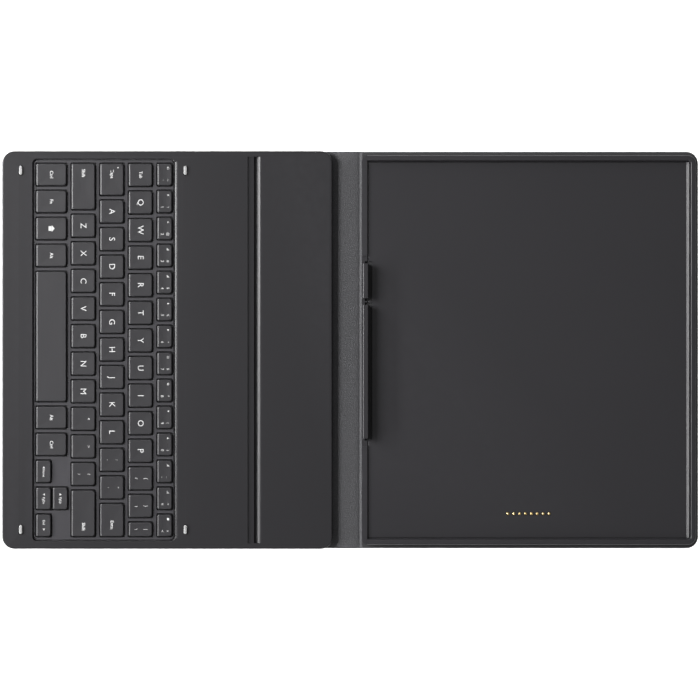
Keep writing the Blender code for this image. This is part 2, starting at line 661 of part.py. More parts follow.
def clip_slot(x0, x1):
    """The cut behind a clip and round both its ends, which lets it flex."""
    front = SEAT_FRONT - CLIP_RELIEF
    rear = SEAT_FRONT + CLIP_SLOT
    left = x0 - OFF_PLANE
    right = x1 + OFF_PLANE
    plan = ((left - CLIP_RELIEF, front), (left, front), (left, SEAT_FRONT), (right, SEAT_FRONT))
    plan += ((right, front), (right + CLIP_RELIEF, front))
    plan += ((right + CLIP_RELIEF, rear), (left - CLIP_RELIEF, rear))
    return stack([[(x, y, z) for x, y in plan] for z in (-DEEP, SEAT_Z + DEEP)])


def make_tray(fold):
    """The moulded tray: floor, rounded rim, snap clips on the front edge, and the pins' pocket and holes."""
    low = (-TRAY_WIDTH / 2, TRAY_FRONT)
    high = (TRAY_WIDTH / 2, TRAY_REAR)
    radii = (TRAY_FRONT_RADIUS, TRAY_REAR_RADIUS)
    levels = [(0, TRAY_Z), (0, RIM_TOP_Z - RIM_ROUND), (RIM_ROUND, RIM_TOP_Z)]
    levels += [(RIM_WIDTH - RIM_ROUND, RIM_TOP_Z), (RIM_WIDTH, RIM_TOP_Z - RIM_ROUND), (RIM_WIDTH, SEAT_Z)]
    tray = add("tablet_tray", slab(low, high, radii, levels), "tray_plastic", fold)

    gap = box(
        (CLIPS[0][0] - CLIP_NOTCH, TRAY_FRONT - DEEP, SEAT_Z),
        (CLIPS[1][1] + CLIP_NOTCH, SEAT_FRONT + OFF_PLANE, RIM_TOP_Z + DEEP),
    )
    low_rim = box(
        (-TRAY_WIDTH / 2 - DEEP, TRAY_FRONT - DEEP, SEAT_Z + FRONT_RIM_HEIGHT),
        (TRAY_WIDTH / 2 + DEEP, SEAT_FRONT + OFF_PLANE, RIM_TOP_Z + DEEP),
    )
    slots = [clip_slot(x0, x1) for x0, x1 in CLIPS]
    pocket = housing_block(-DEEP, SEAT_Z - PIN_POCKET_SKIN, FIT)
    holes = [column(x, y, PIN_RADIUS + PIN_HOLE_GAP, 0, SEAT_Z + DEEP) for x, y in pin_places()]
    combine(tray, add("low_front_rim", low_rim, None, cutter=True), "DIFFERENCE")
    combine(tray, add("rim_gap", gap, None, cutter=True), "DIFFERENCE")
    combine(tray, add("clip_slots", many(slots), None, cutter=True), "DIFFERENCE")
    combine(tray, add("pin_pocket", pocket, None, cutter=True), "DIFFERENCE")
    combine(tray, add("pin_holes", many(holes), None, cutter=True), "DIFFERENCE")

    wall_front = SEAT_FRONT - CLIP_WALL
    catch_z = SEAT_Z + CLIP_CATCH
    top_z = catch_z + CLIP_HOOK_THICKNESS
    wall_rear = SEAT_FRONT - OFF_PLANE
    root_z = SEAT_Z - TRAY_FLOOR / 2
    profile = (
        (wall_front, root_z),
        (wall_rear, root_z),
        (wall_rear, catch_z),
        (SEAT_FRONT + CLIP_HOOK, catch_z),
        (SEAT_FRONT + CLIP_HOOK - CLIP_HOOK_SLOPE, top_z),
        (wall_front + CLIP_CHAMFER, top_z),
        (wall_front, top_z - CLIP_CHAMFER),
    )
    for n, (x0, x1) in enumerate(CLIPS):
        clip = stack([[(x, y, z) for y, z in profile] for x in (x0, x1)])
        combine(tray, add(f"clip_{n}", clip, None, cutter=True), "UNION")


def main():
    """Builds every piece of the case."""
    for obj in list(bpy.data.objects):
        bpy.data.objects.remove(obj)
    front_fold = joint_empty("front_fold", *FRONT_FOLD)
    rear_fold = joint_empty("rear_fold", *REAR_FOLD)
    stand_fold = joint_empty("stand_fold", *STAND_FOLD)
    make_front_cover()
    make_deck_case()
    make_deck_insides()
    make_key_frame()
    make_keys()
    make_bumpers()
    make_spine(front_fold)
    make_back_panels(rear_fold, stand_fold)
    make_contacts(stand_fold)
    make_tray(stand_fold)


main()
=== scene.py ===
"""Looks of a folding tablet keyboard case, lying open and flat.

Every length is in metres in the case's own frame: +X to the typist's right, +Y away from the typist
and +Z up. The deck with the keys is in front, the soft spine in the middle and the tablet tray behind.
"""

import enum
import json
import logging
import math
import string
from collections.abc import Callable, Iterable, Sequence
from dataclasses import dataclass, field
from functools import partial

import bmesh
import bpy
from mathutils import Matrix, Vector


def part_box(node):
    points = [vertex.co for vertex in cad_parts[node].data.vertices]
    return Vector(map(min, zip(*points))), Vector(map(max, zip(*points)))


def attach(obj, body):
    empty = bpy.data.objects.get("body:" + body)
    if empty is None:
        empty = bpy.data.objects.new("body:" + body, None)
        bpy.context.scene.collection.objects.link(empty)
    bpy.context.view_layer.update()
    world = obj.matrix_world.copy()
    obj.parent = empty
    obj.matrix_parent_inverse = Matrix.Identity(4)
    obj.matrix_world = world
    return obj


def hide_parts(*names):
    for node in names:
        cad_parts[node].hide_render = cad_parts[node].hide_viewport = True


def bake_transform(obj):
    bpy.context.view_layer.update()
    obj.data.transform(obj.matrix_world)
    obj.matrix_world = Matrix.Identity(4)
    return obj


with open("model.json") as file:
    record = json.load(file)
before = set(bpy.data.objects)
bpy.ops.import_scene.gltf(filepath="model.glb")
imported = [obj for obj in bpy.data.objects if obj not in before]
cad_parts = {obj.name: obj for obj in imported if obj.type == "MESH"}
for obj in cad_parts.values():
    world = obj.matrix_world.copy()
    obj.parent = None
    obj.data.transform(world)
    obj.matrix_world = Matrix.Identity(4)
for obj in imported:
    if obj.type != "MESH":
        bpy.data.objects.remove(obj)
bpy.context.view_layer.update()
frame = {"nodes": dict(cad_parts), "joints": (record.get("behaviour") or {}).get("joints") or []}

LOG = logging.getLogger("keyboard_case")
MM = 0.001
FIT = 0.3 * MM
HAIR = 0.03 * MM
THROUGH = 6.0 * MM
CORNER_STEPS = 8
LEAST_RADIUS = 0.05 * MM
MARK_HALF = 0.01
CAPITAL = 0.7
NEARLY_STRAIGHT = math.radians(89)
SHARP_ANGLE = math.radians(32)

Point2 = tuple[float, float]
Point3 = tuple[float, float, float]
Colour = tuple[float, float, float]

CASE_CORNERS: Point2 = (7.5 * MM, 7.0 * MM)


# ---------------------------------------------------------------- shapes


def rounded_path(points: Sequence[Point2], radii: Sequence[float], steps: int = 4) -> list[Point2]:
    """Turns the inner corners of an open line into arcs.

    Args:
        points: The line's corners, first to last.
        radii: One radius for each corner between the ends; zero keeps a corner sharp.
        steps: Straight runs in each arc.

    Returns:
        The rounded line's points.
    """
    line = [tuple(points[0])]
    for before, corner, after, radius in zip(points, points[1:], points[2:], radii):
        here = Vector(corner)
        back, ahead = Vector(before) - here, Vector(after) - here
        half = back.angle(ahead) / 2
        if radius <= 0 or half > NEARLY_STRAIGHT:
            line.append(tuple(corner))
            continue
        cut = min(radius / math.tan(half), 0.49 * back.length, 0.49 * ahead.length)
        arm = cut / math.cos(half)
        centre = here + (back.normalized() + ahead.normalized()).normalized() * arm
        start = here + back.normalized() * cut - centre
        end = here + ahead.normalized() * cut - centre
        for k in range(steps + 1):
            spoke = start.lerp(end, k / steps).normalized() * start.length
            line.append(tuple(centre + spoke))
    line.append(tuple(points[-1]))
    return line


def rounded_outline(low: Point2, high: Point2, radii: Point2, inset: float = 0.0) -> list[Point2]:
    """A rectangle with rounded corners, anticlockwise from front right.

    Args:
        low: Its left front corner.
        high: Its right rear corner.
        radii: The radius of the front corners, then of the rear corners.
        inset: How far the outline is moved inwards; the radii shrink with it.

    Returns:
        The outline's points, equally many at every inset.
    """
    corners = ((1, -1, radii[0], -90), (1, 1, radii[1], 0), (-1, 1, radii[1], 90), (-1, -1, radii[0], 180))
    points = []
    for side, end, radius, start in corners:
        r = max(radius - inset, LEAST_RADIUS)
        cx = (high[0] if side > 0 else low[0]) - side * (inset + r)
        cy = (high[1] if end > 0 else low[1]) - end * (inset + r)
        for k in range(CORNER_STEPS + 1):
            angle = math.radians(start + 90 * k / CORNER_STEPS)
            points.append((cx + r * math.cos(angle), cy + r * math.sin(angle)))
    return points


def lofted(rings: Sequence[Sequence[Point3]]) -> bmesh.types.BMesh:
    """Makes a closed solid through rings of equally many points.

    Args:
        rings: The rings in order; the first and the last are capped.

    Returns:
        The solid, with its faces pointing out.
    """
    bm = bmesh.new()
    loops = [[bm.verts.new(point) for point in ring] for ring in rings]
    for one, two in zip(loops, loops[1:]):
        for k in range(len(one)):
            m = (k + 1) % len(one)
            bm.faces.new((one[k], one[m], two[m], two[k]))
    bm.faces.new(list(reversed(loops[0])))
    bm.faces.new(loops[-1])
    bmesh.ops.recalc_face_normals(bm, faces=bm.faces)
    return bm


def slab(low: Point2, high: Point2, radii: Point2, levels: Iterable[Point2]) -> bmesh.types.BMesh:
    """Makes a rounded slab or dish.

    Args:
        low: The outline's left front corner.
        high: Its right rear corner.
        radii: Its front and rear corner radii.
        levels: Pairs of inset and height, in order round the section.

    Returns:
        The closed solid.
    """
    return lofted([[(x, y, z) for x, y in rounded_outline(low, high, radii, inset)] for inset, z in levels])


def flared_cutter(
    low: Point2, high: Point2, radius: float, z_low: float, z_top: float, flare: float
) -> bmesh.types.BMesh:
    """Makes a cutter whose opening gets a rounded lip.

    Args:
        low: The opening's left front corner.
        high: Its right rear corner.
        radius: Its corner radius.
        z_low: The cutter's underside.
        z_top: The face that it cuts into.
        flare: The radius of the lip.

    Returns:
        The cutter as a closed solid.
    """
    levels = [(0.0, z_low)]
    for k in range(4):
        angle = math.radians(30 * k)
        levels.append((-flare * (1 - math.cos(angle)), z_top - flare * (1 - math.sin(angle))))
    levels.append((-flare, z_top + THROUGH))
    return slab(low, high, (radius, radius), levels)


def bar(
    profile: Sequence[Point2], x_low: float, x_high: float, end_round: float = 0.0
) -> bmesh.types.BMesh:
    """Makes a solid along X from an outline of Y and Z.

    Args:
        profile: The outline's points.
        x_low: The left end.
        x_high: The right end.
        end_round: How much the ends are rounded.

    Returns:
        The closed solid.
    """
    middle = Vector((0.0, 0.0))
    for point in profile:
        middle += Vector(point) / len(profile)
    size = max((Vector(point) - middle).length for point in profile)
    rings = []
    stations = [(0.0, 1.0)]
    if end_round > 0:
        part = 0.3 * end_round
        stations = [(0.0, 1 - end_round / size), (part, 1 - part / size), (end_round, 1.0)]
    places = [(x_low + along, scale) for along, scale in stations]
    places += [(x_high - along, scale) for along, scale in reversed(stations)]
    for x, scale in places:
        rings.append([(x, *(middle + (Vector(point) - middle) * scale)) for point in profile])
    return lofted(rings)


def polygon(radius: float, sides: int, turn: float = 0.0) -> list[Point2]:
    """A regular polygon's corners, the first one turned by some degrees from +X."""
    angles = [math.radians(turn) + 2 * math.pi * k / sides for k in range(sides)]
    return [(radius * math.cos(a), radius * math.sin(a)) for a in angles]


def turned(profile: Sequence[Point2], centre: Point3, sides: int = 24) -> bmesh.types.BMesh:
    """Makes a turned piece from pairs of radius and height.

    Args:
        profile: The section, from the foot up.
        centre: Where the foot's middle stands.
        sides: Flats round the piece.

    Returns:
        The closed solid.
    """
    cx, cy, cz = centre
    return lofted([[(cx + x, cy + y, cz + z) for x, y in polygon(radius, sides)] for radius, z in profile])


def join(solids: Iterable[bmesh.types.BMesh]) -> bmesh.types.BMesh:
    """Puts several closed solids into one mesh.

    Args:
        solids: The solids, which are freed.

    Returns:
        The mesh that holds them all.
    """
    whole = bmesh.new()
    for solid in solids:
        mesh = bpy.data.meshes.new("part")
        solid.to_mesh(mesh)
        solid.free()
        whole.from_mesh(mesh)
        bpy.data.meshes.remove(mesh)
    return whole


def as_object(name: str, bm: bmesh.types.BMesh) -> bpy.types.Object:
    """Turns a bmesh into an object of the scene.

    Args:
        name: The object's name.
        bm: Its mesh, which is freed.

    Returns:
        The object.
    """
    mesh = bpy.data.meshes.new(name)
    bm.to_mesh(mesh)
    bm.free()
    obj = bpy.data.objects.new(name, mesh)
    bpy.context.scene.collection.objects.link(obj)
    return obj


def settle(obj: bpy.types.Object) -> None:
    """Applies an object's modifiers to its mesh.

    Args:
        obj: The object, whose modifiers are used up.
    """
    graph = bpy.context.evaluated_depsgraph_get()
    mesh = bpy.data.meshes.new_from_object(obj.evaluated_get(graph), depsgraph=graph)
    old = obj.data
    obj.modifiers.clear()
    obj.data = mesh
    bpy.data.meshes.remove(old)


def combine(obj: bpy.types.Object, tool: bmesh.types.BMesh, operation: str = "DIFFERENCE") -> None:
    """Cuts a solid out of an object, or joins it on.

    Args:
        obj: The object that changes.
        tool: The closed solid, which is used up.
        operation: DIFFERENCE or UNION.
    """
    helper = as_object("tool", tool)
    boolean = obj.modifiers.new("combine", "BOOLEAN")
    boolean.operation = operation
    boolean.solver = "EXACT"
    boolean.object = helper
    settle(obj)
    bpy.data.objects.remove(helper)


def polish(obj: bpy.types.Object, angle: float = SHARP_ANGLE) -> None:
    """Shades an object smooth, with its flat faces kept flat.

    Args:
        obj: The object.
        angle: The bend, in radians, from which an edge stays sharp.
    """
    obj.data.shade_smooth()
    obj.data.set_sharp_from_angle(angle=angle)
    weighted = obj.modifiers.new("normals", "WEIGHTED_NORMAL")
    weighted.keep_sharp = True
    settle(obj)


# ---------------------------------------------------------------- finishes


class NodeTree:
    """A short way to write shader nodes."""

    def __init__(self, tree: bpy.types.NodeTree) -> None:
        """Keeps the tree that nodes are added to."""
        self.tree = tree

    def node(self, kind: str, inputs: dict | None = None, **settings: object) -> bpy.types.Node:
        """Adds a node.

        Args:
            kind: The node's type without its ShaderNode prefix.
            inputs: Values or output sockets for its inputs, by name or by number.
            **settings: Properties of the node.

        Returns:
            The node.
        """
        made = self.tree.nodes.new(kind if kind.startswith("Node") else "ShaderNode" + kind)
        for name, value in settings.items():
            setattr(made, name, value)
        for key, value in (inputs or {}).items():
            if isinstance(value, bpy.types.NodeSocket):
                self.tree.links.new(value, made.inputs[key])
            else:
                made.inputs[key].default_value = value
        return made

    def maths(self, operation: str, *values: object) -> bpy.types.NodeSocket:
        """Adds a Math node and gives its result."""
        return self.node("Math", dict(enumerate(values)), operation=operation).outputs[0]

    def place(self) -> bpy.types.NodeSocket:
        """Adds the object's own coordinates."""
        return self.node("TexCoord").outputs["Object"]

    def spread(self, value: bpy.types.NodeSocket, low: float, high: float) -> bpy.types.NodeSocket:
        """Spreads a value from 0 to 1 over a range."""
        return self.node("MapRange", {0: value, 3: low, 4: high}).outputs[0]


def node_group(name: str, inputs: dict[str, object], outputs: dict[str, str]) -> tuple[NodeTree, dict]:
    """Starts a shader node group with named sockets.

    Args:
        name: The group's name.
        inputs: The default value of each input; three numbers make a colour.
        outputs: The kind of each output, Float or Color.

    Returns:
        The group's tree, and its input sockets by name.
    """
    group = bpy.data.node_groups.new(name, "ShaderNodeTree")
    for label, value in inputs.items():
        kind = "NodeSocketColor" if isinstance(value, tuple) else "NodeSocketFloat"
        socket = group.interface.new_socket(name=label, in_out="INPUT", socket_type=kind)
        socket.default_value = (*value, 1.0) if isinstance(value, tuple) else value
    for label, kind in outputs.items():
        group.interface.new_socket(name=label, in_out="OUTPUT", socket_type="NodeSocket" + kind)
    tree = NodeTree(group)
    entry = tree.node("NodeGroupInput")
    return tree, {label: entry.outputs[label] for label in inputs}


def fine_grain() -> bpy.types.NodeTree:
    """The spark-eroded texture of a moulding: a height and a mask of its pits.

    Returns:
        The node group.
    """
    tree, given = node_group(
        "fine_grain", {"Scale": 5200.0, "Softness": 0.5}, {"Height": "Float", "Mask": "Float"}
    )
    place = tree.place()
    noise = tree.node(
        "TexNoise", {"Vector": place, "Scale": given["Scale"], "Detail": 3.0, "Roughness": 0.6}
    )
    cells = tree.node("TexVoronoi", {"Vector": place, "Scale": given["Scale"]}, feature="SMOOTH_F1")
    pits = tree.maths("MULTIPLY", cells.outputs["Distance"], given["Softness"])
    height = tree.maths("ADD", noise.outputs["Fac"], pits)
    mask = tree.node("MapRange", {0: noise.outputs["Fac"], 1: 0.35, 2: 0.65})
    tree.node("NodeGroupOutput", {"Height": height, "Mask": mask.outputs[0]})
    return tree.tree


def leather_grain() -> bpy.types.NodeTree:
    """The pebbled grain of coated leather: a height, and a mask of the recessed lines between the pebbles,
    where shade is painted.

    Returns:
        The node group.
    """
    tree, given = node_group(
        "leather_grain", {"Scale": 1500.0, "Wrinkle": 0.35}, {"Height": "Float", "Mask": "Float"}
    )
    place = tree.place()
    bend = tree.node("TexNoise", {"Vector": place, "Scale": 420.0, "Detail": 2.0})
    shift = tree.node("VectorMath", {0: bend.outputs["Color"], "Scale": 0.0011}, operation="SCALE")
    moved = tree.node("VectorMath", {0: place, 1: shift.outputs[0]}, operation="ADD").outputs[0]
    cells = tree.node("TexVoronoi", {"Vector": moved, "Scale": given["Scale"]}, feature="DISTANCE_TO_EDGE")
    distance = cells.outputs["Distance"]
    pebble = tree.node("MapRange", {0: distance, 1: 0.0, 2: 0.32}, interpolation_type="SMOOTHSTEP")
    folds = tree.node("TexNoise", {"Vector": place, "Scale": 260.0, "Detail": 4.0, "Roughness": 0.65})
    wrinkle = tree.maths("MULTIPLY", folds.outputs["Fac"], given["Wrinkle"])
    height = tree.maths("ADD", pebble.outputs[0], wrinkle)
    # Painted shade: this mask marks the recessed lines that get darkened.
    mask = tree.maths("SUBTRACT", 1.0, pebble.outputs[0])
    tree.node("NodeGroupOutput", {"Height": height, "Mask": mask})
    return tree.tree


def tone_variation() -> bpy.types.NodeTree:
    """Slow changes of tone over a surface, as from handling and moulding.

    Returns:
        The node group.
    """
    tree, given = node_group(
        "tone_variation",
        {"Color": (0.1, 0.1, 0.1), "Scale": 14.0, "Amount": 0.1},
        {"Color": "Color", "Mask": "Float"},
    )
    place = tree.place()
    noise = tree.node(
        "TexNoise", {"Vector": place, "Scale": given["Scale"], "Detail": 5.0, "Roughness": 0.55}
    )
    swing = tree.maths("MULTIPLY", tree.maths("SUBTRACT", noise.outputs["Fac"], 0.5), given["Amount"])
    value = tree.maths("ADD", 1.0, swing)
    toned = tree.node("HueSaturation", {"Value": value, "Color": given["Color"]})
    tree.node("NodeGroupOutput", {"Color": toned.outputs[0], "Mask": noise.outputs["Fac"]})
    return tree.tree


def edge_wear() -> bpy.types.NodeTree:
    """A painted highlight: pointy edges painted paler, broken up by noise.

    Returns:
        The node group.
    """
    tree, given = node_group(
        "edge_wear",
        {"Color": (0.1, 0.1, 0.1), "Worn": (0.2, 0.2, 0.2), "Amount": 0.4},
        {"Color": "Color", "Mask": "Float"},
    )
    edge = tree.node("NewGeometry").outputs["Pointiness"]
    ridge = tree.node("MapRange", {0: edge, 1: 0.52, 2: 0.6}).outputs[0]
    place = tree.place()
    highlight_breakup = tree.node("TexNoise", {"Vector": place, "Scale": 210.0, "Detail": 3.0}).outputs["Fac"]
    # Painted highlight: the paler colour is mixed in along pointy edges.
    mask = tree.maths("MULTIPLY", tree.maths("MULTIPLY", ridge, highlight_breakup), given["Amount"])
    mix = tree.node("Mix", {0: mask, 6: given["Color"], 7: given["Worn"]}, data_type="RGBA")
    tree.node("NodeGroupOutput", {"Color": mix.outputs[2], "Mask": mask})
    return tree.tree


class Effect(enum.Enum):
    """The shared node groups."""

    FINE_GRAIN = "fine_grain"
    LEATHER_GRAIN = "leather_grain"
    TONE_VARIATION = "tone_variation"
    EDGE_WEAR = "edge_wear"


BUILDERS: dict[Effect, Callable[[], bpy.types.NodeTree]] = {
    Effect.FINE_GRAIN: fine_grain,
    Effect.LEATHER_GRAIN: leather_grain,
    Effect.TONE_VARIATION: tone_variation,
    Effect.EDGE_WEAR: edge_wear,
}
BUILT: dict[Effect, bpy.types.NodeTree] = {}


def place_effect(tree: NodeTree, effect: Effect, **inputs: object) -> bpy.types.Node:
    """Places a shared node group in a material.

    Args:
        tree: The material's tree.
        effect: The group.
        **inputs: Values or sockets for the group's inputs.

    Returns:
        The group node.
    """
    if effect not in BUILT:
        BUILT[effect] = BUILDERS[effect]()
    made = tree.node("Group")
    made.node_tree = BUILT[effect]
    for label, value in inputs.items():
        if isinstance(value, bpy.types.NodeSocket):
            tree.tree.links.new(value, made.inputs[label])
        else:
            made.inputs[label].default_value = (*value, 1.0) if isinstance(value, tuple) else value
    return made


def linear(channel: float) -> float:
    """One display value from 0 to 1 as linear light."""
    return channel / 12.92 if channel <= 0.04045 else ((channel + 0.055) / 1.055) ** 2.4


def shade(level: float, red: float = 0.02, blue: float = 0.07) -> Colour:
    """A grey as linear light, with a little more red and blue than green."""
    return (linear(level * (1 + red)), linear(level), linear(level * (1 + blue)))


def start_material(name: str, **constants: float) -> tuple[bpy.types.Material, NodeTree, bpy.types.Node]:
    """Starts a material on a Principled shader.

    Args:
        name: The material's name.
        **constants: Shader inputs by name, with underscores for spaces.

    Returns:
        The material, its tree and its shader node.
    """
    material = bpy.data.materials.new(name)
    material.use_nodes = True
    shader = material.node_tree.nodes["Principled BSDF"]
    for label, value in constants.items():
        shader.inputs[label.replace("_", " ")].default_value = value
    return material, NodeTree(material.node_tree), shader


def feed(tree: NodeTree, shader: bpy.types.Node, **sockets: bpy.types.NodeSocket) -> None:
    """Links sockets to the shader's inputs, named with underscores for spaces."""
    for label, socket in sockets.items():
        tree.tree.links.new(socket, shader.inputs[label.replace("_", " ")])


def bump(tree: NodeTree, shader: bpy.types.Node, height: bpy.types.NodeSocket, depth: float) -> None:
    """Feeds a height to the shader's normal, with its depth in metres."""
    node = tree.node("Bump", {"Height": height, "Distance": depth, "Strength": 1.0})
    feed(tree, shader, Normal=node.outputs[0])


@dataclass(frozen=True)
class MouldedPlastic:
    """Textured engineering plastic with a painted highlight along its edges, where it is also a little
    glossier.
    """

    name: str
    colour: Colour
    roughness: float = 0.5
    specular: float = 0.5
    grain: float = 5200.0
    depth: float = 0.012 * MM
    # How strongly the edges get the painted highlight.
    wear: float = 0.3
    variation: float = 0.12

    def build(self) -> bpy.types.Material:
        """Makes the material.

        Returns:
            The material.
        """
        material, tree, shader = start_material(self.name, Specular_IOR_Level=self.specular)
        toned = place_effect(
            tree, Effect.TONE_VARIATION, Color=self.colour, Scale=11.0, Amount=self.variation
        )
        # Painted highlight: a paler copy of the colour for the edges.
        highlight_colour = tuple(min(1.0, 2.2 * c + 0.01) for c in self.colour)
        highlighted = place_effect(
            tree, Effect.EDGE_WEAR, Color=toned.outputs["Color"], Worn=highlight_colour, Amount=self.wear
        )
        grain = place_effect(tree, Effect.FINE_GRAIN, Scale=self.grain, Softness=0.6)
        rough = tree.spread(grain.outputs["Mask"], self.roughness - 0.04, self.roughness + 0.05)
        polished = tree.maths("SUBTRACT", rough, tree.maths("MULTIPLY", highlighted.outputs["Mask"], 0.15))
        feed(tree, shader, Base_Color=highlighted.outputs["Color"], Roughness=polished)
        bump(tree, shader, grain.outputs["Height"], self.depth)
        return material


@dataclass(frozen=True)
class CoatedLeather:
    """Soft coated leather with a pebbled grain, with painted shade in the recessed lines between the
    pebbles.
    """

    name: str
    colour: Colour
    roughness: float = 0.62
    specular: float = 0.4
    pebbles: float = 1300.0
    depth: float = 0.06 * MM
    crevice_shade: float = 0.72

    def build(self) -> bpy.types.Material:
        """Makes the material.

        Returns:
            The material.
        """
        material, tree, shader = start_material(self.name, Specular_IOR_Level=self.specular)
        grain = place_effect(tree, Effect.LEATHER_GRAIN, Scale=self.pebbles, Wrinkle=0.4)
        toned = place_effect(tree, Effect.TONE_VARIATION, Color=self.colour, Scale=18.0, Amount=0.22)
        mask, tone = grain.outputs["Mask"], toned.outputs["Color"]
        # Painted shade: the recessed lines between the pebbles are darkened.
        shaded = tree.node("HueSaturation", {"Value": self.crevice_shade, "Color": tone}).outputs[0]
        colour = tree.node("Mix", {0: mask, 6: tone, 7: shaded}, data_type="RGBA").outputs[2]
        rough = tree.spread(mask, self.roughness, self.roughness + 0.15)
        feed(tree, shader, Base_Color=colour, Roughness=rough)
        bump(tree, shader, grain.outputs["Height"], self.depth)
        return material


@dataclass(frozen=True)
class Silicone:
    """Pale rubber that picks up a little dust."""

    name: str
    colour: Colour

    def build(self) -> bpy.types.Material:
        """Makes the material.

        Returns:
            The material.
        """
        material, tree, shader = start_material(self.name, Roughness=0.55, Subsurface_Weight=0.1)
        shader.inputs["Subsurface Radius"].default_value = (0.5 * MM, 0.4 * MM, 0.35 * MM)
        dusty = place_effect(tree, Effect.TONE_VARIATION, Color=self.colour, Scale=300.0, Amount=0.2)
        grain = place_effect(tree, Effect.FINE_GRAIN, Scale=4000.0, Softness=0.3)
        feed(tree, shader, Base_Color=dusty.outputs["Color"])
        bump(tree, shader, grain.outputs["Height"], 0.01 * MM)
        return material


@dataclass(frozen=True)
class Metal:
    """Plain, plated or rolled metal, with marks across the rolling direction."""

    name: str
    colour: Colour
    roughness: float = 0.3
    stretch: float = 12.0
    scratch: float = 0.1

    def build(self) -> bpy.types.Material:
        """Makes the material.

        Returns:
            The material.
        """
        material, tree, shader = start_material(self.name, Metallic=1.0)
        toned = place_effect(tree, Effect.TONE_VARIATION, Color=self.colour, Scale=90.0, Amount=0.15)
        rolled = tree.node("Mapping", {0: tree.place(), 3: (1.0, self.stretch, 1.0)}).outputs[0]
        marks = tree.node("TexNoise", {"Vector": rolled, "Scale": 700.0, "Detail": 4.0}).outputs["Fac"]
        rough = tree.spread(marks, self.roughness - self.scratch, self.roughness + self.scratch)
        feed(tree, shader, Base_Color=toned.outputs["Color"], Roughness=rough)
        bump(tree, shader, marks, 0.004 * MM)
        return material


@dataclass(frozen=True)
class PrintedInk:
    """Pad-printed ink, slightly uneven."""

    name: str
    colour: Colour

    def build(self) -> bpy.types.Material:
        """Makes the material.

        Returns:
            The material.
        """
        material, tree, shader = start_material(self.name, Roughness=0.6)
        toned = place_effect(tree, Effect.TONE_VARIATION, Color=self.colour, Scale=500.0, Amount=0.25)
        grain = place_effect(tree, Effect.FINE_GRAIN, Scale=6000.0, Softness=0.4)
        feed(tree, shader, Base_Color=toned.outputs["Color"])
        bump(tree, shader, grain.outputs["Height"], 0.004 * MM)
        return material


@dataclass(frozen=True)
class TracedSheet:
    """A board or a film with a pattern of straight conductive traces."""

    name: str
    colour: Colour
    trace: Colour
    pitch: float = 1.2 * MM
    roughness: float = 0.4

    def build(self) -> bpy.types.Material:
        """Makes the material.

        Returns:
            The material.
        """
        material, tree, shader = start_material(self.name, Roughness=self.roughness)
        bricks = tree.node(
            "TexBrick",
            {
                "Vector": tree.place(),
                "Scale": 1.0,
                "Mortar Size": self.pitch / 6,
                "Brick Width": 9 * self.pitch,
                "Row Height": self.pitch,
                "Color1": (*self.colour, 1.0),
                "Color2": (*(0.85 * c for c in self.colour), 1.0),
                "Mortar": (*self.trace, 1.0),
            },
            offset=0.4,
        )
        toned = place_effect(
            tree, Effect.TONE_VARIATION, Color=bricks.outputs["Color"], Scale=60.0, Amount=0.2
        )
        feed(tree, shader, Base_Color=toned.outputs["Color"])
        bump(tree, shader, bricks.outputs["Fac"], 0.02 * MM)
        return material


class Finish(enum.Enum):
    """Every finish on the case."""

    DECK = MouldedPlastic("deck_plastic", shade(0.13), 0.37, 0.4)
    FRAME = MouldedPlastic("frame_plastic", shade(0.19), 0.46, 0.4)
    KEY = MouldedPlastic("key_plastic", shade(0.149), 0.44, 0.45, wear=0.5)
    TRAY = MouldedPlastic("tray_plastic", shade(0.15), 0.38, 0.4)
    COVER = CoatedLeather("cover_leather", shade(0.24, 0.0, 0.02))
    SPINE = CoatedLeather("spine_leather", shade(0.31, 0.0, 0.03), pebbles=1100.0, depth=0.1 * MM)
    LINING = CoatedLeather("lining", shade(0.212, 0.0, 0.03), pebbles=1900.0, depth=0.03 * MM)
    SILICONE = Silicone("silicone", shade(0.6, 0.0, 0.0))
    GOLD = Metal("gold", (0.83, 0.62, 0.28), 0.28, 1.0, 0.06)
    STEEL = Metal("steel", (0.5, 0.5, 0.51), 0.38, 14.0, 0.12)
    MAGNET = Metal("magnet", (0.42, 0.42, 0.43), 0.3, 1.0, 0.1)
    CIRCUIT = TracedSheet("circuit", shade(0.2, 0.0, 0.1), shade(0.42), 0.8 * MM)
    FILM = TracedSheet("film", shade(0.6, 0.12, -0.12), shade(0.75, 0.0, 0.0), 1.6 * MM, 0.3)
    HOUSING = MouldedPlastic("black_plastic", shade(0.1), 0.5)
    INK = PrintedInk("legend_ink", shade(0.76, 0.0, 0.0))
    FAINT_INK = PrintedInk("faint_legend_ink", shade(0.85, 0.0, 0.0))
    # Painted shade: a near-black copy of the film, for the membrane that shows in the gaps round the keys;
    # it shares the film's slot.
    SHADED_FILM = TracedSheet("film_painted_shade", shade(0.07), shade(0.1), 1.6 * MM, 0.5)


PRINTED = (Finish.INK, Finish.FAINT_INK)
SLOTS = {finish: finish.value.name for finish in Finish if finish not in PRINTED}
SLOTS[Finish.SHADED_FILM] = SLOTS[Finish.FILM]
MATERIALS: dict[Finish, bpy.types.Material] = {}


def coat(obj: bpy.types.Object, finish: Finish) -> None:
    """Gives an object its finish, whose material is built the first time that it is asked for.

    Args:
        obj: The object.
        finish: The finish.
    """
    if finish not in MATERIALS:
        MATERIALS[finish] = finish.value.build()
    obj.data.materials.clear()
    obj.data.materials.append(MATERIALS[finish])


# ---------------------------------------------------------------- places


